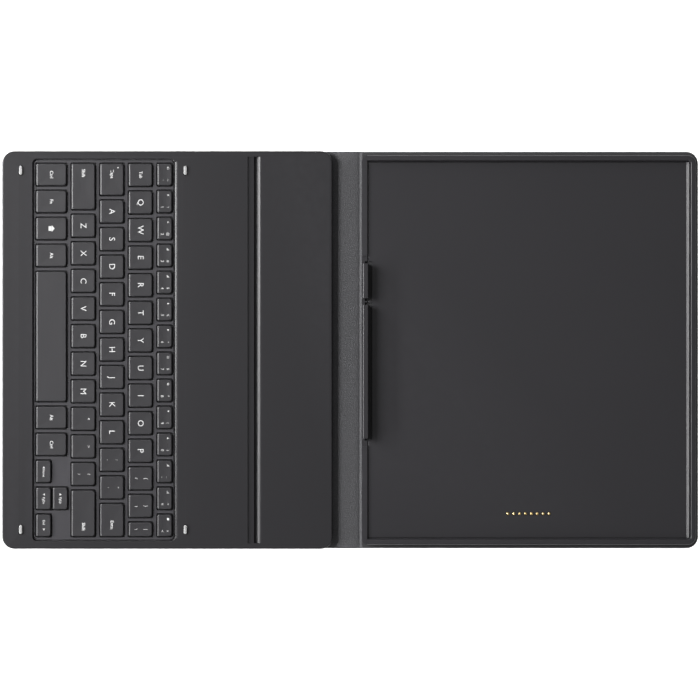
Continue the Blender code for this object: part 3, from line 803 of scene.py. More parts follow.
@dataclass(frozen=True)
class Box:
    """The lowest and highest corners of a node of the frame."""

    low: Vector
    high: Vector

    @classmethod
    def of(cls, node: str) -> "Box":
        """The box of the named node."""
        return cls(*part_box(node))

    @property
    def middle(self) -> Vector:
        """The box's middle."""
        return (self.low + self.high) / 2

    @property
    def size(self) -> Vector:
        """The box's width, depth and height."""
        return self.high - self.low

    def outline(self, gap: float = 0.0) -> tuple[Vector, Vector]:
        """The left front and right rear corners of its outline, moved out by a gap."""
        grow = Vector((gap, gap))
        return self.low.xy - grow, self.high.xy + grow


def fold_line(joint: str) -> Vector:
    """A point on the named joint's axis."""
    return Vector(next(j["pos_m"] for j in frame["joints"] if j["name"] == joint))


def dress(obj: bpy.types.Object, finish: Finish, body: str, *nodes: str) -> None:
    """Gives a rigid piece its finish, its body and the nodes that it stands for.

    Args:
        obj: The piece.
        finish: Its finish.
        body: The body that it moves with.
        *nodes: The nodes of the frame that it replaces.
    """
    coat(obj, finish)
    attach(obj, body)
    if nodes:
        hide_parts(*nodes)
    LOG.info("%s moves with %s", obj.name, body)


# ---------------------------------------------------------------- the deck


@dataclass
class KeyboardDeck:
    """The deck's moulded top case with its well, stand groove and bumper pockets, and the bumpers."""

    wall: float = 1.5 * MM
    ceiling: float = 1.2 * MM
    edge_round: float = 0.9 * MM
    foot_round: float = 0.25 * MM
    well_radius: float = 2.7 * MM
    lip: float = 0.35 * MM
    rear_slope: float = 1.9 * MM
    groove_setback: float = 42.3 * MM
    groove_width: float = 8.1 * MM
    groove_depth: float = 2.1 * MM
    groove_step: float = 0.5 * MM
    groove_flat: float = 1.3 * MM
    groove_slope: float = 2.9 * MM
    groove_wall: float = 0.7 * MM
    groove_crest: float = 1.5 * MM
    groove_margin: float = 3.5 * MM
    groove_lip: float = 0.4 * MM
    groove_rounds: tuple[float, ...] = (0.0, 0.15, 0.1, 0.3, 0.2, 0.2, 0.1, 5.0, 0.0)
    rib_floor: float = 0.5 * MM
    rib_margin: float = 3.0 * MM
    rib_radius: float = 0.6 * MM
    pocket_depth: float = 0.6 * MM
    pocket_lip: float = 0.12 * MM
    box: Box = field(default_factory=lambda: Box.of("deck_top_case"))
    frame_box: Box = field(default_factory=lambda: Box.of("key_frame"))

    @property
    def top(self) -> float:
        """The height of the deck's top face."""
        return self.box.high.z

    def shell(self) -> bpy.types.Object:
        """Builds the open-bottomed shell with its rounded edge.

        Returns:
            The shell's object.
        """
        low_z = self.box.low.z
        inner_z = self.top - self.ceiling
        corners = [(self.wall, inner_z), (self.wall, low_z), (0.0, low_z), (0.0, self.top)]
        corners.append((4 * self.edge_round, self.top))
        radii = (0.0, self.foot_round, self.edge_round)
        levels = rounded_path(corners, radii, 6)[:-1]
        levels.append((self.edge_round + 0.3 * MM, self.top))
        return as_object("deck_shell", slab(*self.box.outline(), CASE_CORNERS, levels))

    def groove_cutter(self) -> bmesh.types.BMesh:
        """Builds the cutter of the groove that holds the tray's edge when the case stands.

        Returns:
            The cutter as a closed solid.
        """
        rear = self.box.high.y - self.groove_setback
        front = rear - self.groove_width
        floor = self.top - self.groove_depth
        turn = rear - self.groove_slope
        sky = self.top + THROUGH
        shelf = turn - self.groove_flat
        corners = [
            (front - self.groove_lip, sky),
            (front - self.groove_lip, self.top),
            (front, self.top - self.groove_lip),
            (front, self.top - self.groove_step),
            (shelf - self.groove_lip, self.top - self.groove_step - 5 * HAIR),
            (shelf + 3 * HAIR, floor),
            (turn, floor),
            (turn + HAIR, floor + self.groove_wall),
            (turn + self.groove_crest, self.top - 2 * HAIR),
            (rear + 3 * self.groove_lip, self.top + HAIR),
            (rear + 3 * self.groove_lip, sky),
        ]
        profile = rounded_path(corners, [radius * MM for radius in self.groove_rounds], 6)
        half = self.box.high.x - self.groove_margin
        return bar(profile, -half, half)

    def slope_cutter(self) -> bmesh.types.BMesh:
        """Builds the cutter of the slope from the deck's face down into the well behind the keys.

        Returns:
            The cutter as a closed solid.
        """
        rear = self.frame_box.high.y + FIT
        foot = self.frame_box.high.z + 0.1 * MM
        corners = [
            (rear - MM, self.top + THROUGH),
            (rear - MM, foot),
            (rear, foot),
            (rear + self.rear_slope, self.top + HAIR),
            (rear + self.rear_slope, self.top + THROUGH),
        ]
        half = self.frame_box.high.x - self.well_radius / 2
        return bar(rounded_path(corners, (0.0, 0.2 * MM, 0.0), 5), -half, half)

    def build(self) -> None:
        """Builds the case and the bumpers."""
        case = self.shell()
        rear = self.box.high.y - self.groove_setback
        rib_low = (-self.box.high.x + self.wall / 2, rear - self.groove_width - self.rib_margin)
        rib_high = (self.box.high.x - self.wall / 2, rear + self.rib_margin)
        rib_z = self.top - self.groove_depth - self.rib_floor
        rib_levels = [(0.0, rib_z), (0.0, self.top - self.ceiling / 2)]
        combine(case, slab(rib_low, rib_high, (self.rib_radius, self.rib_radius), rib_levels), "UNION")
        combine(case, self.groove_cutter())
        under = self.top - self.ceiling - FIT
        well = self.frame_box.outline(FIT)
        combine(case, flared_cutter(*well, self.well_radius, under, self.top, self.lip))
        combine(case, self.slope_cutter())
        names = [f"bumper_{end}_{side}" for end in ("front", "rear") for side in ("left", "right")]
        pockets = []
        for name in names:
            pad = Box.of(name)
            radius = pad.size.y / 2 + FIT - 0.01 * MM
            z_low = self.top - self.pocket_depth
            pockets.append(flared_cutter(*pad.outline(FIT), radius, z_low, self.top, self.pocket_lip))
        combine(case, join(pockets))
        polish(case)
        dress(case, Finish.DECK, "keyboard_deck", "deck_top_case")
        for name in names:
            self.bumper(name)

    def bumper(self, name: str) -> None:
        """Builds one bumper: a pill with a domed top.

        Args:
            name: The bumper's node.
        """
        pad = Box.of(name)
        radius = pad.size.y / 2 - 0.01 * MM
        low_z, high_z = pad.low.z, pad.high.z
        corners = [(0.0, low_z), (0.0, high_z - 0.1 * MM), (radius * 0.5, high_z), (radius * 0.95, high_z)]
        levels = rounded_path(corners, (0.5 * MM, 0.3 * MM), 5)
        bumper = as_object(f"silicone_{name}", slab(*pad.outline(), (radius, radius), levels))
        polish(bumper, math.radians(60))
        dress(bumper, Finish.SILICONE, "keyboard_deck", name)


# ---------------------------------------------------------------- the keys


class Width(enum.Enum):
    """How a cap's width is found inside its group's box."""

    LETTER = "letter"
    EVEN = "even"
    REST = "rest"


class Spot(enum.Enum):
    """Where a legend stands on its cap, as shares of the half width and half depth."""

    CENTRE = (0.0, 0.0)
    REAR = (0.0, 0.44)
    FRONT = (0.0, -0.42)
    LEFT = (-0.62, 0.0)
    RIGHT = (0.62, 0.0)
    REAR_LEFT = (-0.58, 0.42)
    REAR_RIGHT = (0.52, 0.42)
    FRONT_RIGHT = (0.52, -0.36)
    LAMP = (-0.74, 0.5)


class Sign(enum.Enum):
    """Plain drawn signs."""

    ARROW_LEFT = 180
    ARROW_RIGHT = 0
    ARROW_UP = 90
    ARROW_DOWN = 270
    RING = 1
    DOT = 2
    BARS = 3
    HOUSE = 4
    SUN = 5
    SQUARE = 6


@dataclass(frozen=True)
class Legend:
    """One printed mark."""

    text: str | Sign
    spot: Spot = Spot.CENTRE
    height: float = 3.5 * MM
    faint: bool = False


@dataclass(frozen=True)
class Cap:
    """A keycap's width rule and its legends."""

    width: Width
    legends: tuple[Legend, ...]


WORD_HEIGHT = 1.95 * MM
PAIR_HEIGHT = 1.9 * MM
DIGIT_HEIGHT = 1.75 * MM
MARK_HEIGHT = 1.5 * MM
SMALL_HEIGHT = 1.3 * MM
LAMP_HEIGHT = 0.8 * MM


def word(text: str, spot: Spot = Spot.CENTRE) -> Legend:
    """A small word on a function key."""
    return Legend(text, spot, WORD_HEIGHT, True)


def pair(front: str, rear: str) -> tuple[Legend, ...]:
    """The two marks of a punctuation key."""
    return (Legend(front, Spot.FRONT, PAIR_HEIGHT), Legend(rear, Spot.REAR, PAIR_HEIGHT))


def digit(number: str, shifted: str, sign: Sign) -> tuple[Legend, ...]:
    """The three marks of a key in the number row.

    Args:
        number: The mark that the bare key types.
        shifted: The mark that it types with shift.
        sign: The sign of its function.

    Returns:
        The three legends.
    """
    return (
        Legend(number, Spot.FRONT_RIGHT, DIGIT_HEIGHT),
        Legend(shifted, Spot.REAR_RIGHT, MARK_HEIGHT),
        Legend(sign, Spot.REAR_LEFT, SMALL_HEIGHT, True),
    )


def steer(sign: Sign, text: str, left: bool = True) -> tuple[Legend, ...]:
    """The marks of an arrow key: an arrow at one side and a small word at the other."""
    arrow, label = (Spot.LEFT, Spot.RIGHT) if left else (Spot.RIGHT, Spot.LEFT)
    return (Legend(sign, arrow, MARK_HEIGHT), Legend(text, label, SMALL_HEIGHT, True))


def single(*legends: Legend) -> tuple[Cap, ...]:
    """A node that holds one cap."""
    return (Cap(Width.REST, legends),)


def pairs(*marks: tuple[str, str]) -> tuple[Cap, ...]:
    """Punctuation keys side by side, each with its front and rear mark."""
    return tuple(Cap(Width.LETTER, pair(*mark)) for mark in marks)


def even(*legends: Legend) -> tuple[Cap, ...]:
    """Keys of one width side by side, with one legend each."""
    return tuple(Cap(Width.EVEN, (legend,)) for legend in legends)


def letter_caps() -> dict[str, tuple[Cap, ...]]:
    """The caps of the 26 letter keys, by node."""
    return {f"key_{letter}": single(Legend(letter.upper())) for letter in string.ascii_lowercase}


def number_caps(marks: Sequence[tuple[str, str, Sign]]) -> tuple[Cap, ...]:
    """Half of the number row."""
    return tuple(Cap(Width.EVEN, digit(*mark)) for mark in marks)


KEYBOARD: dict[str, tuple[Cap, ...]] = letter_caps() | {
    "key_tab": single(word("Tab")),
    "key_caps_lock": single(word("Caps", Spot.LEFT), Legend(Sign.DOT, Spot.LAMP, LAMP_HEIGHT)),
    "key_shift_left": single(word("Shift", Spot.LEFT)),
    "key_space": single(),
    "number_keys_left": number_caps(
        [
            ("`", "~", Sign.SQUARE), ("1", "!", Sign.SUN), ("2", "@", Sign.SUN), ("3", "#", Sign.BARS),
            ("4", "$", Sign.BARS), ("5", "%", Sign.ARROW_LEFT), ("6", "^", Sign.ARROW_RIGHT),
        ]
    ),
    "number_keys_right": number_caps(
        [
            ("7", "&", Sign.SQUARE), ("8", "*", Sign.RING), ("9", "(", Sign.ARROW_DOWN),
            ("0", ")", Sign.ARROW_UP), ("-", "_", Sign.BARS), ("=", "+", Sign.BARS), ("<", "x", Sign.DOT),
        ]
    ),
    "bracket_keys": pairs(("[", "{"), ("]", "}")) + single(*pair("\\", "|")),
    "enter_keys": pairs((";", ":"), ("'", '"')) + single(word("Enter", Spot.RIGHT)),
    "right_shift_keys": pairs((",", "<"), (".", ">"), ("/", "?")) + single(word("Shift", Spot.RIGHT)),
    "left_modifier_keys": even(
        word("Ctrl"), word("Fn"), Legend(Sign.HOUSE, Spot.CENTRE, 3.6 * MM), word("Alt")
    ),
    "right_modifier_keys": even(word("Alt"), word("Ctrl")),
}
ARROWS: tuple[Cap, ...] = (
    Cap(Width.EVEN, steer(Sign.ARROW_LEFT, "Home")),
    Cap(Width.EVEN, steer(Sign.ARROW_DOWN, "PgDn")),
    Cap(Width.EVEN, steer(Sign.ARROW_UP, "PgUp")),
    Cap(Width.EVEN, steer(Sign.ARROW_RIGHT, "End", left=False)),
)


@dataclass
class Keys:
    """The keycaps with their legends, and the lattice round them."""

    gap: float = 3.1 * MM
    arrow_gap: float = 1.3 * MM
    opening_gap: float = 0.7 * MM
    opening_radius: float = 1.2 * MM
    opening_lip: float = 0.15 * MM
    wall: float = 1.2 * MM
    front_chamfer: float = 0.95 * MM
    side_chamfer: float = 0.45 * MM
    drop: float = 0.55 * MM
    foot: float = 0.1 * MM
    cap_ceiling: float = 1.0 * MM
    front_radius: float = 0.7 * MM
    rear_radius: float = 1.5 * MM
    least_radius: float = 0.15 * MM
    top_rings: tuple[float, ...] = (0.97, 0.85, 0.65, 0.4, 0.15)
    dish: float = 0.12 * MM
    ink: float = 0.02 * MM
    word_margin: float = 3.4 * MM
    lattice_skirt: float = 0.6 * MM
    lattice_plate: float = 0.4 * MM
    lattice_radius: float = 2.7 * MM
    lattice_inset: float = 0.5 * MM
    letter: float = field(default_factory=lambda: Box.of("key_q").size.x)

    def places(self, node: str, caps: Sequence[Cap]) -> list[Box]:
        """Finds each cap's box in a group's box.

        Args:
            node: The group's node.
            caps: Its caps, left to right.

        Returns:
            One box for each cap.
        """
        whole = Box.of(node)
        even_width = (whole.size.x - (len(caps) - 1) * self.gap) / len(caps)
        boxes = []
        left = whole.low.x
        for cap in caps:
            widths = {Width.LETTER: self.letter, Width.EVEN: even_width, Width.REST: whole.high.x - left}
            right = left + widths[cap.width]
            boxes.append(Box(Vector((left, *whole.low.yz)), Vector((right, *whole.high.yz))))
            left = right + self.gap
        return boxes

    def arrow_places(self) -> list[Box]:
        """The boxes of the four arrow caps: left, down, up and right.

        Returns:
            The four boxes.
        """
        whole = Box.of("arrow_keys")
        width = (whole.size.x - 2 * self.gap) / 3
        depth = (whole.size.y - self.arrow_gap) / 2
        boxes = []
        for column, row in ((0, 0), (1, 0), (1, 1), (2, 0)):
            x = whole.low.x + column * (width + self.gap)
            y = whole.low.y + row * (depth + self.arrow_gap)
            boxes.append(Box(Vector((x, y, whole.low.z)), Vector((x + width, y + depth, whole.high.z))))
        return boxes

    def all_caps(self) -> dict[str, list[tuple[Cap, Box]]]:
        """Every cap with its box, by node.

        Returns:
            For each node, its caps and their boxes.
        """
        found = {node: list(zip(caps, self.places(node, caps))) for node, caps in KEYBOARD.items()}
        found["arrow_keys"] = list(zip(ARROWS, self.arrow_places()))
        return found

    def height(self, box: Box, x: float, y: float) -> float:
        """The height of a cap's dished top at a point.

        Args:
            box: The cap's box.
            x: The point's place from left to right.
            y: Its place from front to rear.

        Returns:
            The height.
        """
        low = Vector((box.low.x + self.side_chamfer, box.low.y + self.front_chamfer))
        high = Vector((box.high.x - self.side_chamfer, box.high.y - self.side_chamfer))
        u = min(1.0, abs(2 * (x - low.x) / (high.x - low.x) - 1))
        v = min(1.0, abs(2 * (y - low.y) / (high.y - low.y) - 1))
        depth = self.dish * min(1.0, box.size.y / box.size.x * 1.6)
        return box.high.z - depth * (1 - u * u) * (1 - v * v)

    def cap_ring(self, box: Box, side: float, front: float, z: float) -> list[Point3]:
        """One ring of a cap's wall.

        Args:
            box: The cap's box.
            side: The inset at the sides and the rear.
            front: The inset at the front.
            z: The ring's height.

        Returns:
            The ring's points.
        """
        low = (box.low.x + side, box.low.y + front)
        high = (box.high.x - side, box.high.y - side)
        radii = tuple(max(self.least_radius, r - side / 2) for r in (self.front_radius, self.rear_radius))
        return [(x, y, z) for x, y in rounded_outline(low, high, radii)]

    def cap(self, name: str, box: Box, node: str, first: bool) -> None:
        """Builds one hollow cap with a wide front chamfer and a dished top.

        Args:
            name: The piece's name.
            box: Its box.
            node: The node that it belongs to.
            first: Whether it stands for that node.
        """
        top = box.high.z
        rings = [
            self.cap_ring(box, self.wall, self.wall, top - self.cap_ceiling),
            self.cap_ring(box, self.wall, self.wall, box.low.z),
            self.cap_ring(box, self.foot, self.foot, box.low.z),
            self.cap_ring(box, 0.0, 0.0, box.low.z + self.foot),
        ]
        for k in range(5):
            angle = math.radians(22.5 * k)
            share = 1 - math.cos(angle)
            rise = math.sin(angle)
            front = self.front_chamfer * (0.25 * share + 0.75 * k / 4)
            side = self.side_chamfer * share
            rings.append(self.cap_ring(box, side, front, top - self.drop * (1 - rise)))
        plateau = rings[-1]
        cx = sum(p[0] for p in plateau) / len(plateau)
        cy = (box.low.y + self.front_chamfer + box.high.y - self.side_chamfer) / 2
        for scale in self.top_rings:
            ring = []
            for x, y, _ in plateau:
                px, py = cx + (x - cx) * scale, cy + (y - cy) * scale
                ring.append((px, py, self.height(box, px, py)))
            rings.append(ring)
        obj = as_object(name, lofted(rings))
        polish(obj, math.radians(40))
        dress(obj, Finish.KEY, f"{node}_body", *([node] if first else []))

    def build(self) -> None:
        """Builds every cap, the legends of each node and the lattice."""
        for node, caps in self.all_caps().items():
            marks: dict[Finish, list[bmesh.types.BMesh]] = {Finish.INK: [], Finish.FAINT_INK: []}
            for n, (cap, box) in enumerate(caps):
                name = f"cap_{node}" if len(caps) == 1 else f"cap_{node}_{n + 1}"
                self.cap(name, box, node, n == 0)
                for legend in cap.legends:
                    finish = Finish.FAINT_INK if legend.faint else Finish.INK
                    marks[finish].append(self.legend(legend, box))
            for finish, solids in marks.items():
                if solids:
                    kind = "words" if finish is Finish.FAINT_INK else "letters"
                    legend_obj = as_object(f"{kind}_{node}", join(solids))
                    dress(legend_obj, finish, f"{node}_body")
        self.lattice()

    def legend(self, legend: Legend, box: Box) -> bmesh.types.BMesh:
        """Builds one printed mark on its cap's top.

        Args:
            legend: What is printed.
            box: The cap's box.

        Returns:
            The mark as a thin solid that follows the top's dish.
        """
        drawn = isinstance(legend.text, Sign)
        flat = drawn_sign(legend.text) if drawn else set_text(legend.text)
        xs = [v.co.x for v in flat.verts]
        ys = [v.co.y for v in flat.verts]
        middle = Vector(((min(xs) + max(xs)) / 2, (min(ys) + max(ys)) / 2 if drawn else CAPITAL / 2))
        scale = legend.height if drawn else legend.height / CAPITAL
        half = box.size.xy / 2
        reach = (max(xs) - min(xs)) * scale / 2
        across = legend.spot.value[0]
        x = box.middle.x + across * half.x
        if legend.spot in (Spot.LEFT, Spot.RIGHT):
            x = box.middle.x + math.copysign(half.x - self.word_margin - reach, across)
        y = box.middle.y + (self.front_chamfer - self.side_chamfer) / 2 + legend.spot.value[1] * half.y
        for vert in flat.verts:
            px = x + (vert.co.x - middle.x) * scale
            py = y + (vert.co.y - middle.y) * scale
            lift = self.ink if vert.co.z > 0 else -self.ink
            vert.co = (px, py, self.height(box, px, py) + lift)
        return flat

    def lattice(self) -> None:
        """Builds the plate between the keys, with a rounded opening for each key and a skirt."""
        whole = Box.of("key_frame")
        plate_z = whole.high.z - self.lattice_plate
        corners = [
            (self.lattice_skirt, plate_z),
            (self.lattice_skirt, whole.low.z),
            (0.0, whole.low.z),
            (0.0, plate_z),
            (self.lattice_inset, plate_z),
            (self.lattice_inset, whole.high.z),
            (3 * self.lattice_inset, whole.high.z),
        ]
        levels = rounded_path(corners, (0.0, 0.1 * MM, 0.1 * MM, 0.0, 0.15 * MM), 3)
        radii = (self.lattice_radius, self.lattice_radius)
        obj = as_object("key_lattice", slab(*whole.outline(), radii, levels))
        z_low, z_top = plate_z - FIT, whole.high.z
        cutters = []
        for node, caps in self.all_caps().items():
            boxes = [box for _, box in caps]
            if node == "arrow_keys":
                tall = Box(boxes[1].low, boxes[2].high)
                boxes = [boxes[0], tall, boxes[3]]
            for box in boxes:
                opening = box.outline(self.opening_gap)
                cutters.append(flared_cutter(*opening, self.opening_radius, z_low, z_top, self.opening_lip))
        combine(obj, join(cutters))
        polish(obj)
        dress(obj, Finish.FRAME, "keyboard_deck", "key_frame")


def set_text(text: str) -> bmesh.types.BMesh:
    """Sets a generic key legend.

    Args:
        text: The letters.

    Returns:
        The legend as a thin solid, one unit to the em, centred on x.
    """
    curve = bpy.data.curves.new("legend", "FONT")
    curve.body = text
    curve.align_x = "CENTER"
    curve.extrude = MARK_HALF
    curve.resolution_u = 3
    holder = bpy.data.objects.new("legend", curve)
    bpy.context.scene.collection.objects.link(holder)
    graph = bpy.context.evaluated_depsgraph_get()
    mesh = bpy.data.meshes.new_from_object(holder.evaluated_get(graph))
    bm = bmesh.new()
    bm.from_mesh(mesh)
    bmesh.ops.remove_doubles(bm, verts=bm.verts, dist=0.0005)
    bpy.data.objects.remove(holder)
    bpy.data.curves.remove(curve)
    bpy.data.meshes.remove(mesh)
    return bm


def prism(outline: Sequence[Point2]) -> bmesh.types.BMesh:
    """A thin solid on an outline."""
    return lofted([[(x, y, z) for x, y in outline] for z in (-MARK_HALF, MARK_HALF)])


def hoop(outer: float, inner: float, sides: int = 28) -> bmesh.types.BMesh:
    """Makes a thin flat hoop round the origin.

    Args:
        outer: Its outer radius.
        inner: Its inner radius.
        sides: Flats round the hoop.

    Returns:
        The closed solid.
    """
    bm = bmesh.new()
    loops = []
    for radius, side in ((outer, -1), (outer, 1), (inner, 1), (inner, -1)):
        loops.append([bm.verts.new((x, y, side * MARK_HALF)) for x, y in polygon(radius, sides)])
    for one, two in zip(loops, loops[1:] + loops[:1]):
        for k in range(sides):
            m = (k + 1) % sides
            bm.faces.new((one[k], one[m], two[m], two[k]))
    bmesh.ops.recalc_face_normals(bm, faces=bm.faces)
    return bm


def rectangle(x0: float, x1: float, y0: float, y1: float) -> bmesh.types.BMesh:
    """A thin rectangle."""
    return prism([(x0, y0), (x1, y0), (x1, y1), (x0, y1)])


def drawn_sign(sign: Sign) -> bmesh.types.BMesh:
    """Draws a plain sign about one unit high.

    Args:
        sign: Which sign.

    Returns:
        The sign as a thin solid, or several.
    """
    if sign in (Sign.ARROW_LEFT, Sign.ARROW_RIGHT, Sign.ARROW_UP, Sign.ARROW_DOWN):
        return prism(polygon(0.55, 3, sign.value))
    if sign is Sign.RING:
        return hoop(0.5, 0.33)
    if sign is Sign.DOT:
        return prism(polygon(0.5, 20))
    if sign is Sign.BARS:
        return join([rectangle(0.3 * k - 0.45, 0.3 * k - 0.3, -0.45, 0.3 * k - 0.15) for k in range(4)])
    if sign is Sign.SQUARE:
        sides = [(-0.5, 0.5, -0.45, -0.32), (-0.5, 0.5, 0.32, 0.45)]
        sides += [(-0.5, -0.37, -0.3, 0.3), (0.37, 0.5, -0.3, 0.3)]
        return join([rectangle(*side) for side in sides])
    if sign is Sign.SUN:
        solids = [prism(polygon(0.24, 16))]
        for c, s in polygon(1.0, 8):
            left = (0.34 * c - 0.06 * s, 0.34 * s + 0.06 * c)
            right = (0.34 * c + 0.06 * s, 0.34 * s - 0.06 * c)
            solids.append(prism([left, right, (0.55 * c, 0.55 * s)]))
        return join(solids)
    roof = prism([(-0.55, 0.02), (0.55, 0.02), (0.0, 0.5)])
    walls = rectangle(-0.38, 0.38, -0.5, -0.02)
    return join([roof, walls])


# ---------------------------------------------------------------- the cover


def spaced(start: float, stop: float, step: float) -> list[float]:
    """Evenly spaced values from start to stop, no further apart than step."""
    count = max(1, math.ceil((stop - start) / step))
    return [start + (stop - start) * k / count for k in range(count + 1)]


Height = Callable[[float, float], float]
Bodies = tuple[str, str]


@dataclass
class SoftSheet:
    """A closed soft sheet, lofted through cross-sections from front to rear."""

    name: str
    half_width: float
    rows: list[float]
    under: Height
    over: Height
    round_front: float = 0.0
    round_rear: float = 0.0
    edge: float = 0.2 * MM
    front_line: Callable[[float], float] | None = None
    seam: float | None = None
    column_step: float = 9.0 * MM
    seam_step: float = 0.25 * MM

    def columns(self) -> list[float]:
        """The places of the sheet's lengthwise lines, left to right.

        Returns:
            The places.
        """
        half = spaced(0.0, self.half_width - self.edge, self.column_step)
        if self.seam is not None:
            half = [x for x in half if abs(x - self.seam) > 3 * self.seam_step]
            half += [self.seam + k * self.seam_step for k in (-2, -1, 0, 1, 2)]
        half = sorted(half)
        return [-x for x in reversed(half[1:])] + half

    def reach(self, y: float) -> float:
        """The sheet's half width, less in its rounded corners.

        Args:
            y: A place along the sheet.

        Returns:
            The half width there.
        """
        first, last = self.rows[0], self.rows[-1]
        shortfall = 0.0
        for radius, along in ((self.round_front, y - first), (self.round_rear, last - y)):
            if radius > 0 and along < radius:
                shortfall = radius - math.sqrt(max(0.0, radius**2 - (radius - along) ** 2))
        return self.half_width - shortfall

    def lines(self) -> list[float]:
        """The places of the cross-sections, closer together in the rounded corners.

        Returns:
            The places, front to rear.
        """
        first, last = self.rows[0], self.rows[-1]
        found = [y for y in self.rows if first + self.round_front <= y <= last - self.round_rear]
        turn = [math.radians(10 * k) for k in range(9)]
        if self.round_front > 0:
            found = [first + self.round_front * (1 - math.cos(a)) for a in turn] + found
        if self.round_rear > 0:
            found += [last - self.round_rear * (1 - math.cos(a)) for a in reversed(turn)]
        return found

    def ring(self, y: float, thin: float) -> list[Point3]:
        """One cross-section.

        Args:
            y: Its place.
            thin: How much is taken off above and below, for a rounded end.

        Returns:
            The section's points in order.
        """
        scale = self.reach(y) / self.half_width
        first, last = self.rows[0], self.rows[-1]

        def point(x: float, side: int, lift: float) -> Point3:
            """A point of the section.

            Args:
                x: Its place from left to right.
                side: 1 on the upper side and -1 on the lower.
                lift: How far it is moved into the sheet.

            Returns:
                The point.
            """
            place = y
            if self.front_line:
                start = self.front_line(x)
                place = start + (last - start) * (y - first) / (last - first)
            z = self.over(x, place) - thin if side > 0 else self.under(x, place) + thin
            return (x, place, z - side * lift)

        xs = [x * scale for x in self.columns()]
        wall = self.half_width * scale
        ring = [point(x, -1, 0.0) for x in xs]
        ring += [point(wall, -1, self.edge), point(wall, 1, self.edge)]
        ring += [point(x, 1, 0.0) for x in reversed(xs)]
        ring += [point(-wall, 1, self.edge), point(-wall, -1, self.edge)]
        return ring

    def build(self) -> bpy.types.Object:
        """Builds the sheet as an object.

        Returns:
            The object.
        """
        lines = self.lines()
        rings = []
        for k, y in enumerate(lines):
            ends = (k == 0 and self.round_front > 0) or (k == len(lines) - 1 and self.round_rear > 0)
            rings.append(self.ring(y, self.edge / 2 if ends else 0.0))
        return as_object(self.name, lofted(rings))


def dip(distance: float, width: float, depth: float) -> float:
    """The depth of a soft crease at a distance from its line."""
    return depth * math.exp(-((distance / width) ** 2))


def ramp(value: float, low: float, high: float) -> float:
    """Eases from 0 to 1 between two values."""
    t = min(1.0, max(0.0, (value - low) / (high - low)))
    return t * t * (3 - 2 * t)


